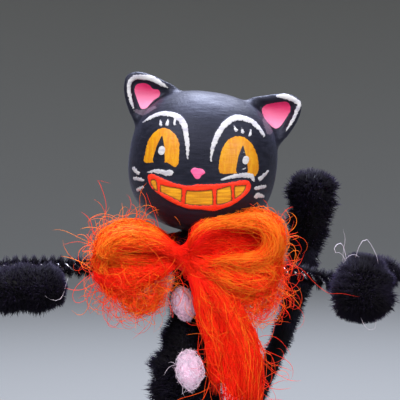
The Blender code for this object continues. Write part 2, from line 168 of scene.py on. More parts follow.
# %% Floor and backdrop
FLOOR_RADIUS, BOWL_RADIUS, BOWL_HEIGHT = 1.1, 1.7, 1.5
BEND_STEPS, ROUND_STEPS = 8, 72


def mesh_from(bm, name):
    """A bmesh written out as a mesh, and freed."""
    mesh = bpy.data.meshes.new(name)
    bm.to_mesh(mesh)
    bm.free()
    return mesh


bm = bmesh.new()
profile = [(0.0, 0.0), (0.5, 0.0), (FLOOR_RADIUS, 0.0)]
bend = BOWL_RADIUS - FLOOR_RADIUS
for step in range(1, BEND_STEPS + 1):
    angle = math.radians(90) * step / BEND_STEPS
    profile.append((FLOOR_RADIUS + bend * math.sin(angle), bend * (1 - math.cos(angle))))
profile.append((BOWL_RADIUS, BOWL_HEIGHT))
verts = [bm.verts.new((x, 0.0, z)) for x, z in profile]
edges = [bm.edges.new(pair) for pair in zip(verts, verts[1:])]
bmesh.ops.spin(bm, geom=verts + edges, axis=(0, 0, 1), cent=(0, 0, 0), angle=math.tau,
               steps=ROUND_STEPS, use_merge=True)
bmesh.ops.remove_doubles(bm, verts=bm.verts, dist=1e-5)
bmesh.ops.recalc_face_normals(bm, faces=bm.faces)
bowl_mesh = mesh_from(bm, "backdrop")
bowl_mesh.shade_smooth()
bowl = in_scene("backdrop", bowl_mesh)
finish, tree, shader = new_finish("grey card")
connect(tree, shader, {"Base Color": rgb(0.19, 0.195, 0.19), "Roughness": 0.9})
bowl_mesh.materials.append(finish)
print("backdrop:", len(bowl_mesh.polygons), "faces")

# %% [markdown]
# Soft light: a pale sky all round, a wide lamp high in front, one over the crown that draws
# the broad bluish gleam on the black paint, and a warm one at the side for the shadows.


# %% Lights
CHEST = Vector((0.0, -0.012, 0.085))


def soft_lamp(name, place, size, power, colour):
    """A rectangular lamp that faces the chest, given its width and its length."""
    data = bpy.data.lights.new(name, "AREA")
    data.shape = "RECTANGLE"
    data.size, data.size_y = size
    data.energy, data.color = power, colour
    lamp = in_scene(name, data)
    lamp.location = place
    lamp.rotation_euler = (CHEST - Vector(place)).to_track_quat("-Z", "Y").to_euler()


soft_lamp("front lamp", (-0.32, -0.62, 0.62), (0.5, 0.5), 7.4, (1.0, 0.97, 0.94))
soft_lamp("crown lamp", (0.05, 0.20, 0.80), (0.34, 0.80), 17.0, (0.77, 0.82, 1.0))
soft_lamp("side lamp", (0.50, -0.74, 0.36), (0.40, 0.30), 4.6, (1.0, 0.96, 0.92))
sky = bpy.data.worlds.new("studio")
sky.use_nodes = True
sky_light = {"Color": rgb(0.93, 0.95, 1.0), "Strength": 0.56}
connect(sky.node_tree, sky.node_tree.nodes["Background"], sky_light)
bpy.context.scene.world = sky
bpy.context.scene.view_settings.view_transform = "Standard"

# %% [markdown]
# Stems, locks of wool and brush strokes all follow smooth lines through a few points. A
# Catmull-Rom curve passes through every point it is given, which suits routes that are
# listed as points, and even steps along it keep rings and fibres regular.


# %% Smooth lines
FINE_STEPS = 24


def smooth(points, steps, closed=False):
    """The curve through the points, in so many steps from each to the next."""
    knots = np.array(points, float)
    if closed:
        knots = np.vstack((knots[-1:], knots, knots[:2]))
    else:
        knots = np.vstack((2 * knots[0] - knots[1], knots, 2 * knots[-1] - knots[-2]))
    t = np.arange(steps)[:, None] / steps
    parts = []
    for before, a, b, after in zip(knots, knots[1:], knots[2:], knots[3:]):
        bend = 2 * before - 5 * a + 4 * b - after
        turn = 3 * a - before - 3 * b + after
        parts.append(a + 0.5 * t * (b - before) + 0.5 * t**2 * bend + 0.5 * t**3 * turn)
    return np.vstack(parts if closed else (*parts, knots[-2:-1]))


def even_count(points, count):
    """The smooth line cut into count points at equal steps."""
    fine = smooth(points, FINE_STEPS)
    run = np.concatenate(([0.0], np.cumsum(np.linalg.norm(np.diff(fine, axis=0), axis=1))))
    at = np.linspace(0.0, run[-1], count)
    return np.stack([np.interp(at, run, fine[:, axis]) for axis in range(fine.shape[1])], axis=1)


def even(points, spacing):
    """The smooth line cut into equal steps of about this length."""
    fine = smooth(points, FINE_STEPS)
    length = np.linalg.norm(np.diff(fine, axis=0), axis=1).sum()
    return even_count(points, max(3, round(length / spacing) + 1))


def unit(vectors):
    return vectors / np.maximum(np.linalg.norm(vectors, axis=-1, keepdims=True), 1e-12)


def read_profile(pairs, shares):
    """Values read smoothly from (share, value) pairs."""
    marks, values = np.array(pairs, float).T
    shares = np.clip(shares, marks[0], marks[-1])
    n = np.clip(np.searchsorted(marks, shares, side="right") - 1, 0, len(marks) - 2)
    t = (shares - marks[n]) / (marks[n + 1] - marks[n])
    return values[n] + (values[n + 1] - values[n]) * t * t * (3 - 2 * t)


print("a test line of", len(even([(0, 0, 0), (1, 0, 0), (1, 1, 0)], 0.1)), "points")

# %% [markdown]
# Now the head. It is one lump of clay: a ball that is fuller than a true sphere, with two
# ears pinched out of it. The ball and the rims are modelled plainly first. Each ear is a
# rounded triangle, extruded, then inset twice for the rim and for the cup.

# %% Ball and ears, still apart
HEAD_SIZE = np.array((36.2, 34.0, 34.5)) * MM
HEAD_CENTRE = FIGURE + np.array((3.9, 0.0, 98.45)) * MM
HEAD_ROLL = math.radians(8.5)
HEAD_FULLNESS = 2.4
BALL_SEGMENTS, BALL_RINGS = 72, 48
EAR_THICKNESS, EAR_RIM, EAR_CUP = 4.8 * MM, 1.7 * MM, 1.6 * MM
EAR_CORNERS = (
    (8.7, 16.9), (11.6, 17.9), (15.2, 19.0), (18.6, 19.4), (21.2, 18.4), (21.8, 15.8),
    (21.0, 12.4), (19.3, 9.0), (17.2, 6.2), (12.3, 5.9), (7.6, 10.3),
)


def fullness(directions):
    """How far the ball reaches along each unit direction, before its three sizes are set."""
    powers = (np.abs(directions) ** HEAD_FULLNESS).sum(axis=-1, keepdims=True)
    return powers ** (-1 / HEAD_FULLNESS)


def only(kind, items):
    return [item for item in items if isinstance(item, kind)]


head_bm = bmesh.new()
bmesh.ops.create_uvsphere(head_bm, u_segments=BALL_SEGMENTS, v_segments=BALL_RINGS, radius=1.0)
for vert in head_bm.verts:
    vert.co *= float(fullness(np.array(vert.co))[0])
bmesh.ops.scale(head_bm, vec=HEAD_SIZE / 2, verts=head_bm.verts)
for side in (-1, 1):
    corners = [(side * x * MM, -0.85 * EAR_THICKNESS, z * MM) for x, z in EAR_CORNERS]
    outline = smooth(corners, 5, True)
    ear = head_bm.faces.new([head_bm.verts.new(place) for place in outline])
    made = bmesh.ops.extrude_face_region(head_bm, geom=[ear])["geom"]
    back = only(bmesh.types.BMVert, made)
    bmesh.ops.translate(head_bm, verts=back, vec=(0, 0.6 * EAR_THICKNESS, 0))
    back_faces = only(bmesh.types.BMFace, made)
    dome = bmesh.ops.extrude_face_region(head_bm, geom=back_faces)["geom"]
    bmesh.ops.delete(head_bm, geom=back_faces, context="FACES_ONLY")
    dome = only(bmesh.types.BMVert, dome)
    to_middle = Matrix.Translation(-sum((v.co for v in dome), Vector()) / len(dome))
    bmesh.ops.translate(head_bm, verts=dome, vec=(0, 0.4 * EAR_THICKNESS, 0))
    bmesh.ops.scale(head_bm, verts=dome, vec=(0.66, 1, 0.66), space=to_middle)
    bmesh.ops.recalc_face_normals(head_bm, faces=head_bm.faces)
    bmesh.ops.inset_region(head_bm, faces=[ear], thickness=EAR_RIM * 0.9, depth=0.0)
    bmesh.ops.inset_region(head_bm, faces=[ear], thickness=EAR_RIM * 0.5, depth=-EAR_CUP)
print("ball and ears:", len(head_bm.verts), "points")

# %% [markdown]
# Clay has no seams, so the three shapes are melted into one skin by a voxel remesh. Smoothing
# everywhere rounds the rims, and more of it where an ear leaves the ball draws the soft
# hollow that a thumb leaves there. The face gets a finer net, because paint comes next.


# %% One skin of clay
CLAY_GRAIN = 0.6 * MM


def melt(name, source, grain):
    """One closed skin around all the closed shapes in a bmesh, as a new bmesh."""
    thing = in_scene(name, mesh_from(source, name))
    step = thing.modifiers.new("melt", "REMESH")
    step.mode, step.voxel_size = "VOXEL", grain
    ready = thing.evaluated_get(bpy.context.evaluated_depsgraph_get())
    melted = bmesh.new()
    melted.from_mesh(ready.to_mesh())
    bpy.data.objects.remove(thing)
    return melted


def rounds_of_smoothing(source, verts, rounds):
    all_ways = {"use_axis_x": True, "use_axis_y": True, "use_axis_z": True}
    for _ in range(rounds):
        bmesh.ops.smooth_vert(source, verts=verts, factor=0.5, **all_ways)


head_bm = melt("head skin", head_bm, CLAY_GRAIN)
rounds_of_smoothing(head_bm, head_bm.verts, 4)


def off_ball(vert):
    """How far a point stands off the bare ball."""
    place = np.array(vert.co)
    reach = fullness(unit(place / HEAD_SIZE))[0] / 2
    return float(np.linalg.norm(place) * (1 - reach / np.linalg.norm(place / HEAD_SIZE)))


high_sides = [v for v in head_bm.verts if v.co.z > 4 * MM and abs(v.co.x) > 6 * MM]
junction = [v for v in high_sides if 0.03 * MM < off_ball(v) < 2.6 * MM]
rounds_of_smoothing(head_bm, junction, 14)
front_half = [f for f in head_bm.faces if f.calc_center_median().y < -2.6 * MM]
fine_faces = [f for f in front_half if f.normal.y < 0.3]
fine_edges = list({edge for face in fine_faces for edge in face.edges})
bmesh.ops.subdivide_edges(head_bm, edges=fine_edges, cuts=1, use_grid_fill=True)
rounds_of_smoothing(head_bm, head_bm.verts, 2)
place_head = Matrix.Translation(HEAD_CENTRE) @ Matrix.Rotation(HEAD_ROLL, 4, "Y")
bmesh.ops.transform(head_bm, matrix=place_head, verts=head_bm.verts)
head_bm.normal_update()
print("clay skin:", len(head_bm.faces), "faces,", len(junction), "points smoothed round the ears")

# %% [markdown]
# The face is painted by hand: tapering strokes and small patches. For each colour the script
# stores, at every point of the skin, how far inside the painted shape it lies, in
# millimetres. Distance changes evenly from point to point, so the finish can draw a crisp
# edge between them, and the same numbers raise the paint a little.


# %% Distance inside a stroke or a patch
FAR, CURVE_STEPS = 99.0, 4


def face_places(places):
    """Right and up on the face, in mm, of points seen from the front."""
    off = (places - FIGURE) / MM
    grow = CAMERA_REACH / MM / (CAMERA_REACH / MM + off[:, 1])
    middle = (HEAD_CENTRE - FIGURE) / MM
    right = CAMERA_SIDE / MM + (off[:, 0] - CAMERA_SIDE / MM) * grow - middle[0]
    up = CAMERA_HEIGHT / MM + (off[:, 2] - CAMERA_HEIGHT / MM) * grow - middle[2]
    cos, sin = math.cos(HEAD_ROLL), math.sin(HEAD_ROLL)
    return np.stack((right * cos - up * sin, right * sin + up * cos), axis=1)


def to_segment(places, a, b):
    """The share of the way from a to b at which each place is nearest, and how far off it is."""
    t = np.clip((places - a) @ (b - a) / ((b - a) @ (b - a)), 0, 1)
    return t, np.linalg.norm(places - a - t[:, None] * (b - a), axis=1)


def in_stroke(places, points, widths):
    """Depth inside a stroke that runs through the points with those widths."""
    line = smooth(points, CURVE_STEPS) if len(points) > 2 else np.array(points, float)
    radii = np.interp(np.linspace(0, 1, len(line)), np.linspace(0, 1, len(widths)), widths) / 2
    best = np.full(len(places), -FAR)
    for a, b, ra, rb in zip(line, line[1:], radii, radii[1:]):
        t, off = to_segment(places, a, b)
        best = np.maximum(best, ra + (rb - ra) * t - off)
    return best


def in_patch(places, corners, steps=CURVE_STEPS):
    """Depth inside a rounded patch, negative outside."""
    line = smooth(corners, steps, True)
    near = np.full(len(places), FAR)
    inside = np.zeros(len(places), bool)
    for a, b in zip(line, np.roll(line, -1, axis=0)):
        near = np.minimum(near, to_segment(places, a, b)[1])
        if a[1] != b[1]:
            crosses = (a[1] > places[:, 1]) != (b[1] > places[:, 1])
            crossing = a[0] + (b[0] - a[0]) * (places[:, 1] - a[1]) / (b[1] - a[1])
            inside ^= crosses & (places[:, 0] < crossing)
    return np.where(inside, near, -near)


square = [(-1, -1), (1, -1), (1, 1), (-1, 1)]
print("a point 1 mm inside a patch reads", in_patch(np.zeros((1, 2)), square, 1)[0])

# %% [markdown]
# Here is the painted face, stroke by stroke, in millimetres right and up from the middle of
# the head: white brows, lashes, cheek strokes, whiskers and ear rims, yellow eyes cut off
# flat below, a pink nose and a wide grin with five teeth.

# %% The strokes
WHITE_STROKES = (
    (((-15.94, 7.17), (-14.05, 8.76), (-11.85, 9.87), (-9.75, 10.11), (-7.54, 9.61), (-6.17, 8.39),
     (-5.5, 7.07), (-4.81, 4.81), (-4.23, 2.52), (-3.85, -0.03)),
     (0.4, 0.9, 1.2, 1.3, 1.6, 1.7, 1.5, 1.3, 1.1, 0.5)),
    (((1.9, 0.36), (1.8, 2.95), (2.21, 5.38), (3.11, 8.12), (4.45, 10.22), (6.15, 11.54),
     (8.26, 11.73), (10.46, 11.24), (12.33, 9.86), (13.86, 8.31)),
     (0.5, 1.0, 1.4, 1.5, 1.6, 1.6, 1.4, 1.3, 1.1, 0.7)),
    (((-13.1, -4.73), (-10.47, -4.1), (-8.55, -4.28), (-7.4, -4.0)), (0.4, 1.1, 1.5, 1.5)),
    (((5.14, -3.9), (8.03, -2.64), (10.54, -1.98), (12.21, -2.01), (12.93, -2.85)),
     (0.5, 1.1, 1.3, 1.3, 0.8)),
    (((-11.8, 8.3), (-11.6, 7.25)), (0.45, 0.9)),
    (((-10.04, 8.7), (-10.07, 7.55)), (0.45, 0.95)),
    (((-8.3, 8.95), (-8.27, 7.85)), (0.45, 0.9)),
    (((6.15, 9.6), (6.85, 8.6)), (0.45, 0.95)),
    (((8.15, 9.4), (8.5, 8.4)), (0.4, 0.85)),
    (((10.33, 9.15), (10.4, 8.0)), (0.45, 0.95)),
    (((-16.5, -4.45), (-15.27, -5.29)), (1.0, 0.95)),
    (((-15.9, -6.7), (-13.95, -6.78)), (1.0, 0.8)),
    (((-14.76, -9.4), (-13.6, -8.44)), (0.9, 0.8)),
    (((14.38, -2.28), (16.1, -0.1)), (1.2, 0.6)),
    (((13.8, -4.74), (15.82, -3.96)), (1.1, 0.9)),
    (((14.1, -6.75), (14.5, -6.35), (15.8, -6.45)), (1.1, 1.4, 0.8)),
)
RIM_STROKES = (
    (((-18.57, 10.05), (-19.55, 11.96), (-20.52, 14.66), (-20.64, 16.54), (-19.75, 17.93),
     (-17.3, 18.46), (-15.06, 18.32), (-13.05, 17.51), (-11.36, 16.82)),
     (0.4, 0.8, 1.0, 1.1, 1.2, 1.4, 1.4, 1.1, 0.5)),
    (((15.54, 18.63), (17.39, 18.9), (19.67, 18.45), (21.23, 17.58), (20.86, 15.79),
     (20.15, 13.15), (18.97, 10.45)), (0.6, 1.4, 1.4, 1.1, 1.0, 0.9, 0.4)),
)
EYES = (
    ((-14.28, -2.42), (-14.36, 0.06), (-14.09, 2.71), (-13.01, 5.0), (-11.33, 6.44), (-9.69, 6.56),
     (-8.16, 5.84), (-7.05, 4.71), (-6.34, 3.15), (-5.83, -1.03), (-6.15, -2.2), (-6.75, -2.7),
     (-7.93, -2.06), (-9.18, -1.75), (-12.0, -2.3)),
    ((4.44, -2.34), (3.87, 0.65), (3.99, 3.04), (4.74, 5.17), (5.94, 6.65), (7.72, 7.39),
     (9.68, 6.97), (11.54, 5.59), (12.78, 3.64), (13.55, 1.39), (13.75, -0.48), (13.1, -2.0),
     (11.42, -1.54), (8.0, -2.0)),
)
PUPILS = (
    (((-10.84, 4.4), (-10.8, 1.8), (-10.75, -1.3)), (0.5, 2.1, 3.1)),
    (((9.09, 4.95), (9.35, 2.2), (9.7, -0.7)), (0.5, 2.2, 3.1)),
)
# The first two are the white dots painted on the pupils. The last two, small and thin, are painted
# reflections on the glossy right pupil.
EYE_DOTS_AND_PAINTED_GLINTS = (
    (((-10.42, 0.72), (-10.38, 1.3)), (1.75, 1.75)),
    (((10.25, 1.45), (10.3, 2.0)), (1.65, 1.65)),
    (((9.5, 3.55), (10.0, 3.3)), (0.35, 0.3)),
    (((9.6, -0.75), (10.5, -0.25)), (0.3, 0.45)),
)
NOSE = (
    (-2.62, -2.57), (-1.96, -1.68), (-1.01, -1.7), (0.09, -1.69), (0.94, -2.51), (0.17, -3.26),
    (-0.27, -4.12), (-1.11, -4.24), (-1.84, -3.56),
)
LIPS = (
    (-12.75, -5.19), (-11.62, -4.71), (-9.32, -5.31), (-6.04, -6.09), (-2.86, -6.24),
    (-0.13, -5.52), (2.35, -5.15), (6.32, -4.24), (9.63, -3.11), (11.48, -2.84), (12.44, -3.96),
    (12.18, -5.42), (10.87, -7.19), (8.65, -9.26), (5.72, -10.81), (4.23, -11.41), (1.39, -11.45),
    (-2.36, -11.7), (-6.3, -10.71), (-9.01, -9.53), (-11.45, -8.0), (-12.45, -6.57),
)
GRIN = (
    (-12.01, -6.35), (-10.97, -5.88), (-9.4, -6.9), (-4.62, -7.14), (-3.01, -7.37), (0.11, -7.06),
    (3.15, -6.29), (4.67, -5.91), (7.34, -4.72), (8.73, -4.51), (11.02, -4.01), (11.36, -4.12),
    (10.84, -5.93), (9.06, -7.78), (6.75, -9.23), (3.11, -10.25), (0.01, -10.65), (-2.5, -10.77),
    (-5.8, -9.84), (-8.46, -8.97), (-10.43, -8.48), (-11.52, -7.54),
)
GAPS_IN_TEETH = (
    (((-10.09, -6.2), (-9.7, -7.9), (-9.3, -9.5)), (0.95, 0.7, 0.85)),
    (((-3.52, -6.9), (-3.45, -8.8), (-3.34, -10.9)), (1.3, 0.9, 1.1)),
    (((3.74, -5.8), (4.15, -8.2), (4.55, -10.7)), (1.2, 0.85, 0.95)),
    (((7.93, -4.3), (8.35, -6.3), (8.8, -8.5)), (1.0, 0.7, 0.85)),
)
EAR_PADS = (
    ((-19.31, 15.0), (-19.03, 16.3), (-18.02, 16.93), (-16.78, 17.11), (-15.62, 16.75),
     (-14.72, 16.0), (-13.46, 16.03), (-12.78, 15.28), (-12.93, 14.21), (-13.85, 13.38),
     (-14.78, 12.2), (-15.41, 11.16), (-16.28, 10.62), (-17.1, 10.81), (-17.72, 11.76),
     (-18.45, 13.07)),
    ((12.36, 14.52), (12.47, 15.48), (13.35, 16.37), (14.84, 16.94), (16.66, 17.5), (18.2, 17.73),
     (19.11, 16.95), (19.4, 15.63), (18.95, 14.4), (18.3, 12.88), (17.55, 11.5), (16.56, 10.72),
     (15.42, 10.99), (13.99, 12.07), (12.92, 13.34)),
)
SMEARS = (
    (((-17.93, 9.99), (-16.33, 9.91), (-13.74, 11.56)), (1.0, 1.6, 0.9)),
    (((13.3, 12.45), (14.96, 9.85)), (1.0, 1.7)),
)
print(len(WHITE_STROKES) + len(RIM_STROKES), "white strokes,", len(GAPS_IN_TEETH) + 1, "teeth")

# %% [markdown]
# The distances go into the skin as named attributes. Paint lies on clay, so each coat also
# lifts the skin by a tenth or two of a millimetre, the thick lips most. Only the front is
# painted, and the ears' pads stay inside their cups.

# %% Paint on the skin
BRUSH_EDGE, FEATURE_RISE, DEPTH_LIMIT = 0.08, 0.33, 3.0
COAT_THICKNESS = {
    "white": 0.16, "yellow": 0.07, "glint": 0.12, "nose": 0.2, "lips": 0.3, "teeth": 0.05,
    "pads": 0.12,
}


def read_points(mesh):
    flat = np.empty(len(mesh.vertices) * 3)
    mesh.vertices.foreach_get("co", flat)
    return flat.reshape(-1, 3)


def store(mesh, name, values):
    """Gives the mesh a number at every point, for its finish to read."""
    mesh.attributes.new(name, "FLOAT", "POINT").data.foreach_set("value", values)


skin = mesh_from(head_bm, "head")
co = read_points(skin)
facing = np.array([v.normal for v in skin.vertices])
spots = face_places(co)
front = (co[:, 1] < HEAD_CENTRE[1] - 1.6 * MM) & (facing[:, 1] < 0.35)
upper_spots = spots - (0.0, FEATURE_RISE)


def deepest(shapes, test, at=spots):
    """Depth inside the nearest of several shapes, less the soft edge that a brush leaves."""
    return np.max([test(at, *shape) for shape in shapes], axis=0) - BRUSH_EDGE


in_lips, in_grin = in_patch(spots, LIPS), in_patch(spots, GRIN)
in_gaps = np.minimum(deepest(GAPS_IN_TEETH, in_stroke), in_lips)
in_eyes = deepest([(eye,) for eye in EYES], in_patch, upper_spots)
in_white = deepest(WHITE_STROKES, in_stroke, upper_spots)
coats = {
    "white": np.maximum(in_white, deepest(RIM_STROKES, in_stroke)),
    "yellow": in_eyes,
    "pupil": deepest(PUPILS, in_stroke, upper_spots),
    "glint": deepest(EYE_DOTS_AND_PAINTED_GLINTS, in_stroke, upper_spots),
    "nose": in_patch(spots, NOSE),
    "lips": np.maximum(np.minimum(in_lips, -in_grin), in_gaps),
    "teeth": np.minimum(in_grin, -in_gaps),
    "pads": deepest([(pad,) for pad in EAR_PADS], in_patch),
    "smear": deepest(SMEARS, in_stroke),
}
lift = np.zeros(len(co))
for name, depth in coats.items():
    depth = np.where(front, np.clip(depth, -DEPTH_LIMIT, DEPTH_LIMIT), -DEPTH_LIMIT)
    store(skin, name, depth)
    lift = np.maximum(lift, COAT_THICKNESS.get(name, 0.0) * np.clip(depth / 0.3 + 0.4, 0, 1))
# The height on the face, which the ear pads read for their painted shade and light.
store(skin, "up_face", spots[:, 1])
skin.vertices.foreach_set("co", (co + facing * lift[:, None] * MM).reshape(-1))
skin.update()
skin.shade_smooth()
print("painted points:", {name: int((d[front] > 0).sum()) for name, d in coats.items()})

# %% [markdown]
# One coat of paint, as a node group: it compares the stored distance with nought, frays that
# edge with a little noise, and lays its colour over what is under it. Every coat on the face
# is this same group with its own colour and its own ragged edge.


# %% A coat of paint
def make_coat_group():
    group = bpy.data.node_groups.new("coat of paint", "ShaderNodeTree")
    for name, kind, value in (
        ("Under", "NodeSocketColor", rgb(0, 0, 0)), ("Paint", "NodeSocketColor", rgb(1, 1, 1)),
        ("Depth", "NodeSocketFloat", 0.0), ("Fray", "NodeSocketFloat", 0.5),
        ("Raggedness", "NodeSocketFloat", 0.1), ("Cover", "NodeSocketFloat", 1.0),
    ):
        socket = group.interface.new_socket(name=name, in_out="INPUT", socket_type=kind)
        socket.default_value = value
    group.interface.new_socket(name="Colour", in_out="OUTPUT", socket_type="NodeSocketColor")
    group.interface.new_socket(name="Mask", in_out="OUTPUT", socket_type="NodeSocketFloat")
    given = group.nodes.new("NodeGroupInput").outputs
    centred = maths(group, "SUBTRACT", given["Fray"], 0.5)
    ragged = maths(group, "MULTIPLY", centred, given["Raggedness"])
    mask = rescale(group, maths(group, "ADD", given["Depth"], ragged), -0.07, 0.07)
    mask = maths(group, "MULTIPLY", mask, given["Cover"])
    covered = blend_colours(group, mask, given["Under"], given["Paint"])
    add(group, "NodeGroupOutput", {"Colour": covered, "Mask": mask})
    return group


coat_group = make_coat_group()
print("coat group:", len(coat_group.nodes), "nodes")

# %% [markdown]
# The painted clay. Matt black covers everything, with faint brush marks that run across the
# crown and a soft bluish bloom. Over it lie the coats, back to front. Streaks of noise,
# stretched along the brush, thin the white, gild the eyes and grain the teeth. The ear pads
# are painted darker at the top as shade and lighter below as light, and the teeth are painted
# darker at their edges as shade.


# %% Painted clay
def streaks(tree, place, scales, detail=4.0, turn=HEAD_ROLL):
    """Noise drawn out along a brush stroke: its size along each axis is one over the scale."""
    inputs = {"Vector": place, "Rotation": (0, -turn, 0), "Scale": scales}
    turned = add(tree, "ShaderNodeMapping", inputs).outputs[0]
    return noise(tree, turned, 1.0, detail, 0.6)


painted_clay, tree, shader = new_finish("painted clay")
place = object_place(tree)
fray = streaks(tree, place, (1500, 1500, 1500))
brush = streaks(tree, place, (260, 500, 1300), 5.0, math.radians(35))
upright = streaks(tree, place, (1800, 900, 350))
level = streaks(tree, place, (220, 600, 2400))
soft = streaks(tree, place, (130, 130, 130), 3.0)

black = mix_by(tree, brush, 0.35, 0.8, rgb(0.004, 0.004, 0.008), rgb(0.013, 0.013, 0.023))
black = mix_by(tree, soft, 0.45, 0.8, black, rgb(0.013, 0.012, 0.022), 0.6)
# The ear pads' pink is darker at the top and lighter towards the tip: painted shade under the rim,
# painted light on the lower cup.
height_for_pad_shade = stored(tree, "up_face")
pink = mix_by(tree, height_for_pad_shade, 16.6, 11.0, rgb(0.51, 0.013, 0.090), rgb(0.88, 0.29, 0.50))
pink = mix_by(tree, soft, 0.4, 0.75, pink, rgb(0.90, 0.11, 0.28), 0.25)
gold = mix_by(tree, upright, 0.35, 0.7, rgb(0.60, 0.215, 0.0), rgb(0.69, 0.315, 0.0))
ochre = mix_by(tree, level, 0.35, 0.68, rgb(0.62, 0.24, 0.003), rgb(0.90, 0.42, 0.008))
# The teeth darken towards their edges, where they meet the raised lips and the gaps: painted
# shade.
ochre = mix_by(tree, stored(tree, "teeth"), 0.05, 0.42, rgb(0.17, 0.050, 0.004), ochre)
red_lip = mix_by(tree, level, 0.45, 0.8, rgb(0.92, 0.030, 0.002), rgb(1.0, 0.085, 0.008))
chalk = mix_by(tree, brush, 0.42, 0.75, rgb(0.58, 0.575, 0.60), rgb(0.36, 0.345, 0.42))
rose = mix_by(tree, level, 0.4, 0.7, rgb(0.86, 0.10, 0.28), rgb(0.95, 0.20, 0.40))

# The glint coat lays the white dots on the pupils, and two small painted reflections on the right
# pupil.
COATS_IN_ORDER = (
    ("smear", rgb(0.28, 0.20, 0.26), 0.9, 0.3), ("pads", pink, 0.15, 1.0),
    ("yellow", gold, 0.65, 1.0), ("pupil", black, 0.12, 1.0), ("glint", chalk, 0.08, 1.0),
    ("nose", rose, 0.15, 1.0), ("teeth", ochre, 0.10, 1.0), ("lips", red_lip, 0.55, 1.0),
    ("white", chalk, 0.85, 1.0),
)
colour, masks = black, {}
for name, paint, ragged, cover in COATS_IN_ORDER:
    inputs = {"Under": colour, "Paint": paint, "Depth": stored(tree, name), "Fray": fray,
              "Raggedness": ragged, "Cover": cover}
    coat = add(tree, "ShaderNodeGroup", inputs, node_tree=coat_group)
    colour, masks[name] = coat.outputs["Colour"], coat.outputs["Mask"]
wet = maths(tree, "MAXIMUM", masks["lips"], masks["yellow"])
matt = rescale(tree, brush, 0.3, 0.8, 0.45, 0.63)
lip_grain = maths(tree, "ADD", 0.12, maths(tree, "MULTIPLY", masks["lips"], 0.7))
ridges = maths(tree, "MULTIPLY", fray, lip_grain)
relief = maths(tree, "ADD", maths(tree, "MULTIPLY", brush, 0.45), ridges)
relief = maths(tree, "ADD", relief, maths(tree, "MULTIPLY", upright, 0.25))
bump = add(tree, "ShaderNodeBump", {"Height": relief, "Strength": 0.9, "Distance": 0.00022})
connect(tree, shader, {
    "Base Color": colour, "Normal": bump.outputs[0],
    "Roughness": maths(tree, "SUBTRACT", matt, maths(tree, "MULTIPLY", wet, 0.08)),
    "Specular IOR Level": 0.34, "Specular Tint": rgb(0.66, 0.71, 1.0),
    "Sheen Weight": 0.10, "Sheen Roughness": 0.4, "Sheen Tint": rgb(0.60, 0.64, 1.0),
})
print("painted clay:", len(tree.nodes), "nodes")

# %% [markdown]
# Every dressed piece is added the same way: it sits at the origin with its place in its
# mesh, moves with the figure's one body, hides the plain solid that it stands for, and
# takes its finish.


# %% Adding a piece
def dress(name, mesh, finish, node):
    mesh.materials.clear()
    mesh.materials.append(finish)
    piece = in_scene(name, mesh)
    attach(piece, "root")
    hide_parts(node)
    mesh.calc_loop_triangles()
    print(f"{name}: {len(mesh.loop_triangles)} triangles")


dress("head_clay", skin, painted_clay, "head")

# %% [markdown]
# Chenille and wool are thousands of fibres. Each is a copy of one small shape, made once by
# an operator: a three-sided spike for the pile, and a three-sided strand cut into lengths
# for the wool, so that it can bend. The copies are placed with arrays, which is quick, and
# every copy stays a closed shape.


# %% One spike, one strand, many copies
def small_shape(tip, lengths=1):
    """A three-sided spike or strand, one high: its points, and its faces as point numbers."""
    bm = bmesh.new()
    lifted = Matrix.Translation((0, 0, 0.5))
    bmesh.ops.create_cone(bm, segments=3, radius1=1.0, radius2=tip, depth=1.0, cap_ends=True,
                          matrix=lifted)
    if lengths > 1:
        upright_edges = [e for e in bm.edges if abs(e.verts[0].co.z - e.verts[1].co.z) > 0.5]
        bmesh.ops.subdivide_edges(bm, edges=upright_edges, cuts=lengths - 1)
    bm.verts.index_update()
    points = np.array([v.co for v in bm.verts])
    faces = [[v.index for v in f.verts] for f in bm.faces]
    bm.free()
    return points, faces


def copies(name, placed, faces, tones):
    """One mesh from placed copies, an array of copies by points by 3, each with its tone."""
    count, corners = placed.shape[:2]
    mesh = bpy.data.meshes.new(name)
    flat = np.concatenate(faces)
    sizes = np.array([len(face) for face in faces])
    loops = (flat[None, :] + np.arange(count)[:, None] * corners).reshape(-1)
    starts = np.concatenate(([0], np.cumsum(np.tile(sizes, count))[:-1]))
    mesh.vertices.add(count * corners)
    mesh.vertices.foreach_set("co", placed.reshape(-1))
    mesh.loops.add(len(loops))
    mesh.loops.foreach_set("vertex_index", loops)
    mesh.polygons.add(len(starts))
    mesh.polygons.foreach_set("loop_start", starts)
    mesh.update(calc_edges=True)
    store(mesh, "tone", np.repeat(tones, corners) if tones.ndim == 1 else tones.reshape(-1))
    return mesh


def gathered(name, meshes, smooth_shaded=True):
    """Several meshes as one."""
    bm = bmesh.new()
    for mesh in meshes:
        bm.from_mesh(mesh)
    whole = mesh_from(bm, name)
    if smooth_shaded:
        whole.shade_smooth()
    return whole


SPIKE, SPIKE_FACES = small_shape(0.0)
print("spike:", len(SPIKE), "points; strand of 7:", len(small_shape(1.0, 7)[0]), "points")

# %% [markdown]
# A chenille stem has two parts. Two steel wires are twisted together, and the cut pile that
# they grip stands out between them in a double spiral fan. On the thin stretches the wire
# glints between the blades of the fan. On the fat bumps the pile is long and closes up.


# %% A line with its own directions
STEM_STEP = 0.5 * MM


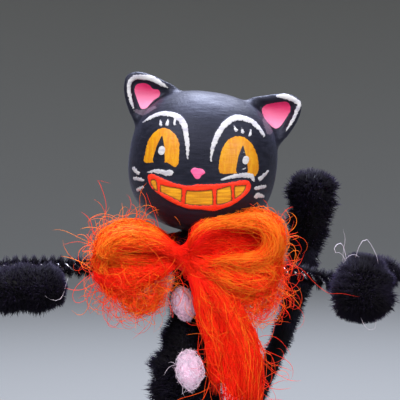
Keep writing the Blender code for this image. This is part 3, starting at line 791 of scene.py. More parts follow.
class Line:
    """Points along a stem, with the way along, two sideways directions and the pile's reach."""

    def __init__(self, points, profile, round_ends=()):
        self.at = even(np.array(points) * MM, STEM_STEP) + FIGURE
        self.at[:, 2] = np.maximum(self.at[:, 2], 0.0)
        self.along = unit(np.gradient(self.at, axis=0))
        self.share = np.linspace(0, 1, len(self.at))
        self.run = self.share * np.linalg.norm(np.diff(self.at, axis=0), axis=1).sum()
        self.reach = read_profile(profile, self.share) * MM
        for end in round_ends:
            cap = 0.8 * self.reach.max()
            inward = 1 - np.clip(np.abs(self.run - self.run[end]) / cap, 0, 1)
            self.reach = np.minimum(self.reach, self.reach.max() * np.sqrt(1 - inward**2 * 0.998))
        self.slope = np.gradient(self.reach, self.run)
        side = unit(np.cross(self.along[0], (0.31, 0.17, 0.93)))
        sides = []
        for along in self.along:
            side = unit(side - along * side.dot(along))
            sides.append(side)
        self.side = np.array(sides)
        self.other = np.cross(self.along, self.side)

    def read(self, values, places):
        """Values between the points, at fractional places along the line."""
        low = np.clip(places.astype(int), 0, len(self.at) - 2)
        t = (places - low).reshape((-1,) + (1,) * (values.ndim - 1))
        return values[low] * (1 - t) + values[low + 1] * t


def tube(line, radii, sides, helix=None):
    """A closed tube along a line, made of bridged rings. A helix swings it round the line."""
    bm = bmesh.new()
    rings = []
    for n in range(len(line.at)):
        turn = Matrix(np.column_stack((line.side[n], line.other[n], line.along[n])))
        frame_here = turn.to_4x4()
        centre = line.at[n]
        if helix:
            swing, pitch, start = helix
            angle = math.tau * line.run[n] / pitch + start
            way = math.cos(angle) * line.side[n] + math.sin(angle) * line.other[n]
            centre = centre + swing * way
        frame_here.translation = Vector(centre)
        ring = bmesh.ops.create_circle(bm, segments=sides, radius=float(radii[n]),
                                       matrix=frame_here)["verts"]
        rings.append(list({edge for vert in ring for edge in vert.link_edges}))
    for first, second in zip(rings, rings[1:]):
        bmesh.ops.bridge_loops(bm, edges=first + second)
    for ring in (rings[0], rings[-1]):
        bmesh.ops.holes_fill(bm, edges=ring, sides=0)
    bmesh.ops.recalc_face_normals(bm, faces=bm.faces)
    return mesh_from(bm, "tube")

# %% [markdown]
# The pile. Each spike starts inside the stem and points outwards, with a little lean, and
# its tip ends where the solid's surface is. Random numbers come from one seeded source for
# each stem, so that every run grows the same fur.

# %% Growing the pile
TWIST_PITCH, RIDGE_PITCH = 4.4 * MM, 7.5 * MM
CORE_INSET, FLOOR_GAP = 2.0 * MM, 0.02 * MM
WIRE_RADIUS, WIRE_SWING = 0.36 * MM, 0.52 * MM
CLUMP_WAVES = np.array(((2100.0, 1700.0, 1900.0), (1300.0, -2300.0, 1500.0)))
TUFT_WAVE, TUFT_PITCH, TUFT_RISE = np.array((1900.0, 900.0, 2600.0)), 0.9 * MM, 0.035
RIDGE_RISE, CLUMP_LEAN, LEAN, SCATTER = 0.05, 0.20, 0.20, 0.12


def grow_pile(line, count, seed, fan, root, width, ragged):
    """Spikes round a line. A fan of nought gives closed fur, else it is the blade's spread."""
    rng = np.random.default_rng(seed)
    cover = line.reach * np.sqrt(1 + np.clip(line.slope, -4, 4) ** 2)
    filled = np.concatenate(([0.0], np.cumsum((cover[1:] + cover[:-1]) / 2)))
    places = np.interp(rng.random(count) * filled[-1], filled, np.arange(len(filled)))
    at, along, side, other, reach, run = (line.read(values, places) for values in (
        line.at, line.along, line.side, line.other, line.reach, line.run))
    if fan:
        turn = math.tau * run / TWIST_PITCH + math.pi * rng.integers(0, 2, count)
        turn = turn + rng.normal(0, fan, count)
    else:
        turn = rng.random(count) * math.tau
    swell = 1.0 if fan else 1.0 + RIDGE_RISE * np.cos(turn - math.tau * run / RIDGE_PITCH)
    out = np.cos(turn)[:, None] * side + np.sin(turn)[:, None] * other
    clump = CLUMP_LEAN * np.sin(at @ CLUMP_WAVES[0]) * np.cos(at @ CLUMP_WAVES[1])
    slope = np.clip(line.read(line.slope, places), -3.0, 3.0) * (0.0 if fan else 1.0)
    lean = rng.normal(0, LEAN, count) + clump
    way = out - slope[:, None] * along + lean[:, None] * along
    way = unit(way + rng.normal(0, SCATTER, (count, 3)))
    tuft = np.sin(at @ TUFT_WAVE + 3 * turn) * np.sin(2.3 * turn + run / TUFT_PITCH)
    uneven = np.abs(rng.normal(0, ragged, count))
    tips = reach * swell * (1 + uneven - ragged * 0.9 + TUFT_RISE * tuft)
    depth = line.reach.max() * (1 - root) if not fan else reach * (1 - root)
    up = way * np.reshape(depth, (-1, 1))
    start = at + out * tips[:, None] - up
    across = unit(np.cross(way, along)) * width
    over = unit(np.cross(way, across)) * width
    placed = start[:, None] + SPIKE[:, 0, None] * across[:, None]
    placed = placed + SPIKE[:, 1, None] * over[:, None] + SPIKE[:, 2, None] * up[:, None]
    placed[:, :, 2] = np.maximum(placed[:, :, 2], FLOOR_GAP)
    return copies("pile", placed, SPIKE_FACES, rng.random(count))


def inner_core(line, share, sides):
    """The dark heart of the fur, which stops light from passing through it."""
    before = np.interp(line.run - CORE_INSET, line.run, line.reach, left=0.0)
    after = np.interp(line.run + CORE_INSET, line.run, line.reach, right=0.0)
    radii = share * np.minimum(line.reach, np.minimum(before, after))
    body = tube(line, np.maximum(radii, 0.05 * MM), sides)
    store(body, "tone", np.zeros(len(body.vertices)))
    return body


def twisted_wire(line):
    """Two strands of steel wire, twisted together."""
    radii = np.full(len(line.at), WIRE_RADIUS)
    helices = [(WIRE_SWING, TWIST_PITCH, start) for start in (1.57, 4.71)]
    return gathered("wire", [tube(line, radii, 7, helix) for helix in helices])


print("pile pitch:", round(TWIST_PITCH / MM, 1), "mm")

# %% [markdown]
# Black pile drinks light. It is almost black with a trace of violet, each fibre a little
# different, and the sheen that velvet shows at grazing angles comes from the shader's own
# sheen. The steel is plain metal with a fine drawn grain.

# %% Black pile and steel
black_pile, tree, shader = new_finish("black pile")
tone = stored(tree, "tone")
patches = noise(tree, object_place(tree), 150.0, 3.0)
fibre_black = blend_colours(tree, tone, rgb(0.001, 0.0007, 0.0017), rgb(0.0045, 0.0033, 0.0085))
fibre_black = mix_by(tree, patches, 0.45, 0.75, fibre_black, rgb(0.008, 0.006, 0.017))
connect(tree, shader, {
    "Base Color": fibre_black, "Roughness": rescale(tree, tone, 0.0, 1.0, 0.55, 0.75),
    "Specular IOR Level": 0.12,
    "Sheen Weight": 0.08, "Sheen Roughness": 0.35, "Sheen Tint": rgb(0.52, 0.38, 1.0),
})

steel, tree, shader = new_finish("steel wire")
drawn = noise(tree, object_place(tree), 1800.0, 3.0)
connect(tree, shader, {
    "Base Color": blend_colours(tree, drawn, rgb(0.62, 0.60, 0.66), rgb(0.95, 0.93, 0.98)),
    "Roughness": rescale(tree, drawn, 0.2, 0.8, 0.18, 0.38), "Metallic": 1.0,
})
print("finishes:", [m.name for m in bpy.data.materials])

# %% [markdown]
# The routes are those of the solids: millimetres from the point on the floor under the
# body's wire. Each limb is a thin stretch of stem and a fat bump.

# %% Stems of the body and of the arms
THIN, PAW, FIST, FOOT, TAIL_TIP, BODY, NECK = 3.0, 6.1, 7.7, 6.2, 7.2, 9.2, 3.5
SHOULDER, ARM_REACH = 74.2, 48.5


def scaled(size, pairs):
    return [(share, size * value) for share, value in pairs]


def arm_points(side, shares):
    return [(ARM_REACH * side * x, ARM_REACH * y, SHOULDER + ARM_REACH * z) for x, y, z in shares]


torso_line = Line([(0, 0, 34), (0, 0, 58), (1.365, 0, 86)], (
    (0, 0.5 * BODY), (0.04, 0.8 * BODY), (0.11, BODY), (0.28, BODY), (0.4, 0.74 * BODY),
    (0.52, 0.55 * BODY), (0.74, 0.5 * BODY), (0.9, NECK), (1.0, NECK),
), round_ends=(0,))
thin_profile = scaled(THIN, ((0, 0.8), (0.05, 1), (0.95, 1), (1, 0.8)))
right_stem = Line(arm_points(-1, (
    (0.03, 0.0, 0.0), (0.25, 0.01, -0.005), (0.42, 0.01, -0.02), (0.58, 0.01, -0.029),
    (0.74, 0.02, -0.025), (0.91, 0.025, -0.033), (1.04, 0.0, -0.075), (1.082, -0.082, -0.12),
    (1.02, -0.155, -0.135),
)), thin_profile)
right_paw = Line(arm_points(-1, (
    (1.075, -0.12, -0.13), (0.95, -0.172, -0.131), (0.79, -0.182, -0.128), (0.66, -0.178, -0.122),
    (0.583, -0.168, -0.119),
)), scaled(PAW, (
    (0, 0.3), (0.08, 0.6), (0.3, 0.95), (0.55, 1), (0.82, 0.96), (0.93, 0.76), (1, 0.5),
)), round_ends=(0, -1))
left_stem = Line(arm_points(1, (
    (0.03, 0.0, 0.0), (0.27, 0.0, -0.02), (0.49, 0.01, -0.05), (0.68, 0.03, -0.093),
    (0.82, 0.062, -0.112), (0.95, 0.072, -0.108), (1.03, 0.01, -0.09), (1.02, -0.08, -0.04),
    (0.93, -0.15, 0.0),
)), thin_profile)
left_fist = Line(arm_points(1, (
    (0.9, -0.155, 0.045), (0.875, -0.185, -0.06), (0.865, -0.19, -0.16), (0.865, -0.18, -0.305),
)), scaled(FIST, (
    (0, 0.28), (0.08, 0.62), (0.3, 0.93), (0.6, 1), (0.85, 0.9), (0.94, 0.72), (1, 0.5),
)), round_ends=(0, -1))
print("right arm stem:", round(right_stem.run[-1] / MM), "mm of wire")

# %% [markdown]
# The legs and the tail are outside the usual view, or blurred, but they hold the cat up. The
# feet are pressed flat on the floor, and the tail dips to touch it before it rises.

# %% Stems of the legs and of the tail
HIP, SPREAD, SOLE, FOOT_LENGTH = 34.0, 11.8, 0.84 * FOOT, 21.0
HIP_OFFSET, ANKLE, HEEL = 1.15 * THIN + 0.6, 0.92 * SPREAD, 0.2 * FOOT_LENGTH
TAIL_BACK, TAIL_SWAY, TAIL_HEIGHT = 37.0, 33.0, 98.0
TAIL_RISE, TAIL_ROOT_RISE = TAIL_HEIGHT - TAIL_TIP, 8.64


def leg_line(side):
    return Line([
        (side * 0.7 * HIP_OFFSET, 0, HIP + 0.6 * BODY), (side * HIP_OFFSET, 0.3, HIP),
        (side * (0.6 * HIP_OFFSET + 0.4 * ANKLE), 0.6, 0.72 * HIP),
        (side * (0.2 * HIP_OFFSET + 0.8 * ANKLE), 0.4, 0.42 * HIP), (side * ANKLE, 0, SOLE),
    ], scaled(THIN, ((0, 1.1), (0.3, 1.05), (0.7, 1), (1, 1))))


def foot_line(side):
    course = ((0.9, 0), (0.98, 0.5), (1.05, 1))
    profile = ((0, 0.4), (0.12, 0.78), (0.4, 0.97), (0.7, 1), (0.88, 0.8), (1, 0.5))
    points = [(side * share * SPREAD, HEEL - back * FOOT_LENGTH, SOLE) for share, back in course]
    return Line(points, scaled(FOOT, profile), round_ends=(0, -1))


tail_course = (
    (0.02, 0.42, HIP), (0.06, 0.58, 0.6 * HIP), (0.10, 0.71, 0.25 * HIP),
    (0.17, 0.86, 0.68 * THIN), (0.27, 0.985, 0.27 * HIP), (0.44, 1.02, 0.28 * TAIL_RISE),
    (0.66, 0.99, 0.48 * TAIL_RISE),
    (0.84, 0.92, 0.66 * TAIL_RISE), (0.93, 0.86, 0.82 * TAIL_RISE), (0.99, 0.80, 0.95 * TAIL_RISE),
    (1, 0.76, TAIL_HEIGHT),
)
tail_points = [(x * TAIL_SWAY, y * TAIL_BACK, z) for x, y, z in tail_course]
tail_line = Line([(0, 0.5 * BODY, HIP + TAIL_ROOT_RISE), *tail_points], (
    (0, THIN), (0.6, THIN), (0.72, 1.2 * THIN), (0.84, 0.68 * TAIL_TIP), (0.91, 0.87 * TAIL_TIP),
    (0.95, TAIL_TIP), (0.975, 0.98 * TAIL_TIP), (1, 0.95 * TAIL_TIP),
), round_ends=(-1,))
print("tail:", round(tail_line.run[-1] / MM), "mm of wire")

# %% [markdown]
# Now the fur grows on every stem. A thin stretch gets a narrow heart and a wide fan, and a
# bump gets a fat heart and closed fur. The wires are pieces of their own, because they are
# steel and not pile.

# %% Dressing the stems
FAN = {"fan": 0.40, "root": 0.2, "width": 0.10 * MM, "ragged": 0.10}
CLOSED_FUR = {"fan": 0.0, "root": 0.6, "width": 0.20 * MM, "ragged": 0.09}
THIN_CORE, FAT_CORE = (0.16, 8), (0.72, 20)
stems = {
    "torso": ([(torso_line, 14500, False)], 11),
    "right_arm": ([(right_stem, 8000, True), (right_paw, 9500, False)], 21),
    "left_arm": ([(left_stem, 7500, True), (left_fist, 10500, False)], 31),
    "right_leg": ([(leg_line(-1), 3400, True), (foot_line(-1), 4200, False)], 41),
    "left_leg": ([(leg_line(1), 3400, True), (foot_line(1), 4200, False)], 51),
    "tail": ([(tail_line, 14500, False)], 61),
}
for name, (lines, seed) in stems.items():
    parts = []
    for n, (line, count, thin) in enumerate(lines):
        parts.append(inner_core(line, *(THIN_CORE if thin else FAT_CORE)))
        parts.append(grow_pile(line, count, seed + n, **(FAN if thin else CLOSED_FUR)))
    fur = gathered(name, parts, smooth_shaded=False)
    points = read_points(fur)
    points[:, 2] = np.maximum(points[:, 2], FLOOR_GAP)
    fur.vertices.foreach_set("co", points.reshape(-1))
    dress(f"{name}_pile", fur, black_pile, name)
for name, line in (("right_arm", right_stem), ("left_arm", left_stem)):
    dress(f"{name}_wire", twisted_wire(line), steel, name)

# %% [markdown]
# The bow is combed wool: thousands of long fibres that run the same way. Under them lies a
# soft body, melted together from overlapping balls along each lobe. It gives the fibres
# something to lie on, as the wool's own bulk does.

# %% The wool's soft body
KNOT_REACH, KNOT_HEIGHT = 10.012, 75.5
KNOT = FIGURE + np.array((-0.7, -KNOT_REACH, KNOT_HEIGHT)) * MM
RING_REACH, RING_THICKNESS = 6.1, 1.9
WOOL_GRAIN = 0.7 * MM
LOBES = {
    "right upper": (-1.6, 4.0, (
        (-2, 1.0, 1.5), (-5, 3.0, 2.3), (-9, 4.3, 3.2), (-13, 4.5, 3.5), (-16.8, 3.5, 3.2),
        (-18.4, 1.4, 2.4),
    )),
    "right lower": (0.6, 3.4, (
        (-3, -1.5, 1.4), (-7, -3.4, 2.2), (-12, -4.9, 3.1), (-16.5, -5.0, 3.1), (-19.4, -4.0, 2.4),
    )),
    "left band": (-1.4, 3.9, (
        (1.5, 2.6, 1.4), (3.8, 5.8, 1.9), (8, 8.0, 1.9), (12.5, 8.3, 1.9), (16.5, 8.7, 2.3),
        (19.8, 7.2, 2.7), (21.3, 4.2, 2.6), (20.3, 1.2, 2.2), (17, -0.6, 1.9), (12, -0.7, 1.6),
        (7, -0.5, 1.3),
    )),
    "left hollow": (1.3, 1.7, ((3.5, 2.4, 2.0), (8, 4.0, 3.0), (13, 4.4, 3.2), (17, 4.2, 2.8))),
    "left lower": (-0.2, 3.7, (
        (4, -1.8, 1.3), (8, -4.0, 2.3), (12.5, -5.5, 3.1), (17, -5.6, 3.4), (20.2, -3.8, 2.7),
    )),
    "knot": (-0.2, 2.9, ((-0.3, 0.2, 2.8), (0.4, -1.2, 2.4))),
    "thin tail": (0.3, 1.6, (
        (1.5, -3, 1.3), (3.6, -9, 1.6), (5.8, -15, 1.8), (7.6, -22, 1.7), (8.0, -29, 1.3),
    )),
    "thick tail": (0.0, 2.2, (
        (3, -3, 1.5), (7.5, -8.5, 2.1), (11.5, -14.5, 2.5), (15, -22, 2.7), (16.2, -30, 2.5),
        (15.8, -38, 1.6),
    )),
}


def swell_ball(bm, centre, size):
    spot = Matrix.Translation(centre) @ Matrix.Diagonal((*size, 1.0))
    bmesh.ops.create_icosphere(bm, subdivisions=3, radius=1.0, matrix=spot)


wool_bm = bmesh.new()
for depth, half_depth, balls in LOBES.values():
    for x, z, r in even(balls, 1.6):
        swell_ball(wool_bm, KNOT + np.array((x, depth, z)) * MM, np.array((r, half_depth, r)) * MM)


def neck_band(angles, wider=0.0, higher=0.0):
    """Points on the band round the neck, one for each angle."""
    back = 0.5 + 0.5 * np.sin(angles)
    reach = RING_REACH + 0.56 * (1 - back) ** 3 * (KNOT_REACH - RING_REACH) + wider
    across, up = (RING_REACH + wider) * np.cos(angles), KNOT_HEIGHT + back * 3.9 + higher
    return FIGURE + np.stack((across, reach * np.sin(angles), up), axis=-1) * MM


for spot in neck_band(np.linspace(0, math.tau, 18, endpoint=False)):
    swell_ball(wool_bm, spot, np.array((1.7, 1.7, RING_THICKNESS)) * MM)
wool_bm = melt("wool body", wool_bm, WOOL_GRAIN)
rounds_of_smoothing(wool_bm, wool_bm.verts, 6)
wool_bm.normal_update()
wool_body = BVHTree.FromBMesh(wool_bm)
body_mesh = mesh_from(wool_bm, "wool body")
# The body takes the deepest red, painted shade of the wool's inside seen between the fibres.
store(body_mesh, "tone", np.zeros(len(body_mesh.vertices)))
body_mesh.shade_smooth()
print("wool body:", len(body_mesh.polygons), "faces")

# %% [markdown]
# Combing. A lock is drawn as two edges, and each of its fibres runs somewhere between them.
# The fibre is then laid on the soft body by a ray from the front or from the back, and
# lifted a little, so that locks follow every bulge. Waves and a few strays keep it loose.


# %% Combing a lock
EDGE_STEPS, RAY_START = 33, 0.05
SWERVE, SWERVE_LIMIT = 0.10, 0.06
WILD_SHARE, WILDNESS = 0.12, 3.0
CLUMP_RISE, CLUMP_TONE, WAVE_TONE = 0.22, 0.24, 0.10
KNOT_SHADE_REACH, KNOT_SHADE = 10.0, 0.75


def lay_on_body(places, front_side):
    """The depth of the body's skin behind each point, seen from the front or from the back."""
    toward = 1.0 if front_side else -1.0
    flat = places.reshape(-1, 2)
    depth = np.empty(len(flat))
    for n, (x, z) in enumerate(flat):
        origin = Vector((KNOT[0] + x * MM, KNOT[1] - toward * RAY_START, KNOT[2] + z * MM))
        hit = wool_body.ray_cast(origin, Vector((0, toward, 0)))[0]
        if hit is None:
            hit = wool_body.find_nearest(Vector((origin.x, KNOT[1], origin.z)))[0]
        depth[n] = hit.y
    return depth.reshape(places.shape[:2])


def comb(first_edge, second_edge, count, seed, tones, front_side, points,
         loose=0.25, lift=(0.05, 0.9), trim=(0.0, 0.0)):
    """Fibres between two edges, an array of fibres by points by 3, and a tone at each point."""
    rng = np.random.default_rng(seed)
    outward = -1 if front_side else 1
    one, two = even_count(first_edge, EDGE_STEPS), even_count(second_edge, EDGE_STEPS)
    across = rng.random(count)
    start = rng.random(count) * trim[0]
    stop = 1 - rng.random(count) * trim[1]
    t = start[:, None] + (stop - start)[:, None] * np.linspace(0, 1, points)[None]
    swerve = rng.random(count)[:, None] * math.tau + t * rng.uniform(1, 5, count)[:, None]
    wander = across[:, None] + SWERVE * np.sin(swerve)
    wander = np.clip(wander, -SWERVE_LIMIT, 1 + SWERVE_LIMIT)[..., None]
    grid = np.linspace(0, 1, EDGE_STEPS)
    at_one = np.stack([np.interp(t, grid, one[:, axis]) for axis in (0, 1)], axis=-1)
    at_two = np.stack([np.interp(t, grid, two[:, axis]) for axis in (0, 1)], axis=-1)
    flat = at_one * (1 - wander) + at_two * wander
    wild = np.where(rng.random(count) < WILD_SHARE, WILDNESS, 1.0)[:, None, None] * loose
    phase = rng.random((count, 1, 2)) * math.tau
    waves = np.sin(phase + t[..., None] * rng.uniform(6, 18, (count, 1, 2)))
    flat = flat + waves * wild * np.sin(math.pi * np.clip(t, 0.03, 0.97))[..., None]
    depth = lay_on_body(flat, front_side)
    for _ in range(2):
        depth[:, 1:-1] = 0.25 * depth[:, :-2] + 0.5 * depth[:, 1:-1] + 0.25 * depth[:, 2:]
    arch = 0.35 + 0.65 * np.sin(math.pi * np.linspace(0.04, 0.96, points))
    up = rng.uniform(*lift, count)[:, None] * arch[None]
    depth = depth + outward * up * MM
    route = np.stack((KNOT[0] + flat[..., 0] * MM, depth, KNOT[2] + flat[..., 1] * MM), axis=-1)
    low, high = tones
    # A clump of fibres that stands out is painted lighter and one that sinks darker, as light and
    # shade.
    clump = np.sin(across * 47 + 3 * np.sin(across * 13 + seed))[:, None]
    clump = clump * np.sin(math.pi * np.clip(0.2 + t, 0, 1))
    route[..., 1] += outward * CLUMP_RISE * clump * MM
    from_knot = np.clip(np.linalg.norm(flat, axis=-1) / KNOT_SHADE_REACH, 0, 1) ** 1.3
    tone = low + (high - low) * rng.random(count)[:, None]
    tone = tone + WAVE_TONE * waves[..., 0] + CLUMP_TONE * clump
    tone = np.clip(tone * (1 - KNOT_SHADE + KNOT_SHADE * from_knot), 0, 1)
    return route, tone


def strands(name, routes, tones, radii, seed):
    """Bent strands along the routes, thinner towards their ends."""
    rng = np.random.default_rng(seed)
    count, points = routes.shape[:2]
    shape, faces = small_shape(1.0, points - 1)
    level_of = np.rint(shape[:, 2] * (points - 1)).astype(int)
    along = unit(np.gradient(routes, axis=1))
    side = unit(np.cross(along[:, 0], rng.normal(0, 1, (count, 3))))
    sides = np.empty_like(along)
    for n in range(points):
        side = unit(side - along[:, n] * (side * along[:, n]).sum(axis=1, keepdims=True))
        sides[:, n] = side
    others = np.cross(along, sides)
    taper = np.interp(np.linspace(0, 1, points), (0, 0.12, 0.8, 1), (0.55, 1, 0.9, 0.25))
    thick = (rng.uniform(*radii, count)[:, None] * taper[None])[:, level_of, None] * MM
    off = shape[:, 0, None] * sides[:, level_of] + shape[:, 1, None] * others[:, level_of]
    return copies(name, routes[:, level_of] + thick * off, faces, tones[:, level_of])


test_lock = comb([(0, 1), (5, 3)], [(0, -1), (5, 1)], 4, 1, (0, 1), True, 8)
print("a test lock:", test_lock[0].shape)

# %% [markdown]
# Wool finish. Each fibre has its own tone. On the orange wool the deep red is painted shade,
# for the folds, and the light orange is painted light, for the surface. Sheen lifts the fuzzy
# edges. The white wool uses the same group with its own three colours, so the way a fibre's
# colour wanders is worked out once.


# %% Orange and white wool
def make_fibre_group():
    group = bpy.data.node_groups.new("fibre colour", "ShaderNodeTree")
    for name in ("Deep", "Middle", "Light"):
        group.interface.new_socket(name=name, in_out="INPUT", socket_type="NodeSocketColor")
    group.interface.new_socket(name="Colour", in_out="OUTPUT", socket_type="NodeSocketColor")
    given = group.nodes.new("NodeGroupInput").outputs
    cloud = noise(group, object_place(group), 420.0, 2.0)
    change = maths(group, "MULTIPLY", maths(group, "SUBTRACT", cloud, 0.5), 0.38)
    tone = maths(group, "ADD", stored(group, "tone"), change)
    lower = mix_by(group, tone, 0.0, 0.5, given["Deep"], given["Middle"])
    full = mix_by(group, tone, 0.5, 1.0, lower, given["Light"])
    add(group, "NodeGroupOutput", {"Colour": full})
    return group


fibre_group = make_fibre_group()


def wool_finish(name, deep, middle, light, sheen, tint, roughness, gloss):
    finish, tree, shader = new_finish(name)
    colours = {"Deep": deep, "Middle": middle, "Light": light}
    fibre = add(tree, "ShaderNodeGroup", colours, node_tree=fibre_group)
    connect(tree, shader, {
        "Base Color": fibre.outputs["Colour"], "Roughness": roughness, "Specular IOR Level": gloss,
        "Sheen Weight": sheen, "Sheen Roughness": 0.5, "Sheen Tint": tint,
    })
    return finish


# Orange wool: the deep red is painted shade and the light orange painted light. The white wool's
# pinks are its own stain.
orange_wool = wool_finish(
    "orange wool", rgb(1.0, 0.003, 0.0), rgb(1.0, 0.028, 0.0), rgb(1.0, 0.24, 0.008),
    sheen=0.02, tint=rgb(1.0, 0.5, 0.3), roughness=0.60, gloss=0.20)
white_wool = wool_finish(
    "white wool", rgb(1.0, 0.42, 0.58), rgb(0.96, 0.70, 0.88), rgb(0.94, 0.86, 1.0),
    sheen=0.15, tint=rgb(0.9, 0.85, 1.0), roughness=0.7, gloss=0.35)
print("fibre group:", len(fibre_group.nodes), "nodes")

# %% [markdown]
# The locks of the bow, in millimetres right and up from the knot. On the cat's right, one
# lobe curls over in front and a smoother one lies behind and below it, painted redder as shade.
# On its left a band goes over a hollow, curls round and comes back in front: the band is
# painted bright as light, and the hollow deep red as shade.

# %% Locks of the two loops
# Each lock's two tones bound its fibres' tones: high on locks that face the light, painted light,
# and low in hollows and underneath, painted shade.
RIGHT_LOCKS = (
    (((-0.6, 2.3), (-3.7, 4.9), (-6.8, 7.1), (-9.4, 8.5), (-12.2, 8.7), (-15.5, 8.5), (-18.2, 7.1),
     (-20.4, 4.7), (-21.1, 1.8), (-20.5, 0.0), (-18.4, -1.3), (-15, -1.3), (-9.9, -2.0),
     (-4.4, -1.3), (-1.0, -0.2)), ((-0.8, 1.0), (-4, 2.1), (-7, 3.2), (-10, 3.9), (-12.5, 4.1),
     (-14.8, 3.9), (-16.6, 3.2), (-17.4, 2.2), (-16.8, 1.3), (-15, 0.9), (-13, 0.8), (-10, 0.7),
     (-7, 0.5), (-4, 0.4), (-1.2, 0.3)), 1050, (0.35, 1.0), True),
    (((-0.4, 2.4), (-4, 4.4), (-8, 5.6), (-12, 5.6), (-15.5, 4.6), (-17.6, 2.6)), ((-0.8, 0.2),
     (-4, 0.6), (-8, 0.8), (-12, 0.6), (-15, 0.6), (-17.4, 1.6)), 520, (0.15, 0.8), True),
    (((-1.0, 0.4), (-6, 0.4), (-11, 0.0), (-16, 0.2), (-20, 0.4)), ((-1.0, -1.2), (-6, -3.0),
     (-11, -4.2), (-16, -4.4), (-20, -3.2)), 360, (0.1, 0.7), True),
    (((-1.0, -0.4), (-5, -1.5), (-10, -2.6), (-15, -2.4), (-19, -1.5), (-21.2, -1.0)),
     ((-1.2, -1.8), (-4.5, -4.0), (-9, -6.6), (-14.6, -9.3), (-18.6, -8.2), (-22.2, -4.6)),
     750, (0.0, 0.28), True),
    (((-0.6, 2.3), (-6.8, 7.1), (-12.2, 8.7), (-18.2, 7.1), (-21.1, 1.8), (-22, -3), (-20, -7)),
     ((-1, 0), (-6, -0.5), (-11, -1), (-15, -2), (-17, -4), (-15, -7), (-12, -8)), 420, (0.1, 0.7),
     False),
)
LEFT_LOCKS = (
    (((0.9, 1.6), (1.1, 5.4), (3.4, 8.4), (6.3, 9.7), (9.6, 10.4), (13.4, 10.3), (16.1, 11.1),
     (18.5, 11.3), (20.9, 10.0), (22.8, 8.0), (23.9, 5.6), (24.2, 3.4), (23.1, 0.4), (20.8, -1.9),
     (16.5, -2.9), (11, -2.2), (4.5, -0.8)), ((1.2, 1.0), (2.6, 4.2), (5, 6.5), (8.5, 7.5),
     (12.5, 7.3), (15.5, 7.5), (17.6, 7.2), (19, 6.2), (19.7, 4.6), (19.3, 2.8), (17.5, 1.4),
     (14, 0.7), (10, 0.5), (6, 0.3), (3, 0.2)), 1150, (0.4, 1.0), True),
    (((0.8, 1.4), (3, 4.2), (6, 6.1), (10, 7.0), (14, 7.0), (18.2, 6.4)), ((1.2, 0.2), (4, 0.7),
     (8, 0.9), (12, 1.2), (16, 1.9), (19.4, 3.4)), 620, (0.0, 0.22), True),
    (((1.5, -0.3), (6, -0.9), (11, -1.4), (16, -1.8), (20, -1.2), (23.0, 0.6)), ((1.2, -1.5),
     (6.4, -4.4), (9.6, -7.0), (12.7, -9.5), (16.1, -10.2), (19.5, -9.5), (21.9, -7.3),
     (23.2, -4.4)), 950, (0.2, 0.8), True),
    (((0.9, 2.0), (6.3, 9.5), (13.4, 10.2), (20.9, 10.0), (23.9, 5.0), (23, -1), (21, -7)),
     ((1, 0), (6, 0), (11, 0), (16, 0), (18, -3), (15, -6), (12, -8)), 480, (0.1, 0.7), False),
)
COVER_LOCKS = (
    (((-9, 5.5), (-5, 4.0), (-1.2, 1.8), (1.6, -2.2), (4.2, -7)), ((-6, 0.6), (-3.4, 0.4),
     (-1.0, -0.8), (0.4, -2.8), (2.6, -7.5)), 460, (0.1, 0.9), True),
    (((-0.8, 1.8), (3, 0.8), (8, -0.6), (14, -2.2)), ((0.2, -0.6), (3, -2), (8, -4.8), (13, -7)),
     340, (0.3, 1.0), True),
    (((-2.6, 2.6), (0.0, 2.6), (2.4, 2.4), (5, 4.0)), ((-2.6, -0.4), (0.0, -0.4), (2.4, 0.0),
     (5, 0.8)), 240, (0.0, 0.6), True),
    (((-13.5, 3.2), (-17, 3.0), (-20.2, 1.6), (-21.4, -1.2), (-20.4, -4)), ((-13.5, 0.0),
     (-16.4, 0.0), (-18.4, -1.0), (-18.6, -2.6), (-17, -5)), 340, (0.3, 1.0), True),
    (((16.5, 0.6), (21.0, 0.2), (23.6, -1.6), (23.2, -5)), ((16, -2.4), (19.4, -3.2), (20.6, -4.6),
     (19.6, -7)), 280, (0.2, 0.9), True),
)
THIN_TAIL = (
    ((0.6, -1.0), (2.0, -6), (3.2, -12), (5.0, -19), (6.0, -26), (6.3, -33)),
    ((2.4, -2.0), (5.0, -8), (7.8, -14), (9.4, -20), (9.8, -27), (9.4, -33)),
)
THICK_TAIL = (
    ((2.6, -1.6), (7.2, -8.5), (10.6, -15), (12.7, -22), (13.4, -30), (13.4, -40)),
    ((3.6, -0.8), (11.2, -8), (15.2, -15), (17.9, -22), (18.8, -30), (17.9, -40)),
)
TAIL_LOCKS = (
    (*THIN_TAIL, 330, (0.0, 0.55), True),
    (*THICK_TAIL, 620, (0.0, 0.62), True),
    # These two locks lie between the tails, and their low, dark tones are painted shade there.
    (((2.4, -2), (6.3, -9), (8.6, -15), (10.2, -22), (10.8, -28), (11.0, -34)), ((3, -2),
     (7.8, -9), (10.8, -15), (12.7, -22), (13.3, -29), (14.2, -39)), 340, (0.0, 0.35), True),
    (((7.6, -15), (9.0, -21), (9.4, -29), (9.6, -38)), ((11.2, -15), (12.6, -22), (13.4, -31),
     (13.8, -41)), 190, (0.0, 0.3), True),
    (*THIN_TAIL, 120, (0.1, 0.6), False),
    (*THICK_TAIL, 200, (0.1, 0.7), False),
)
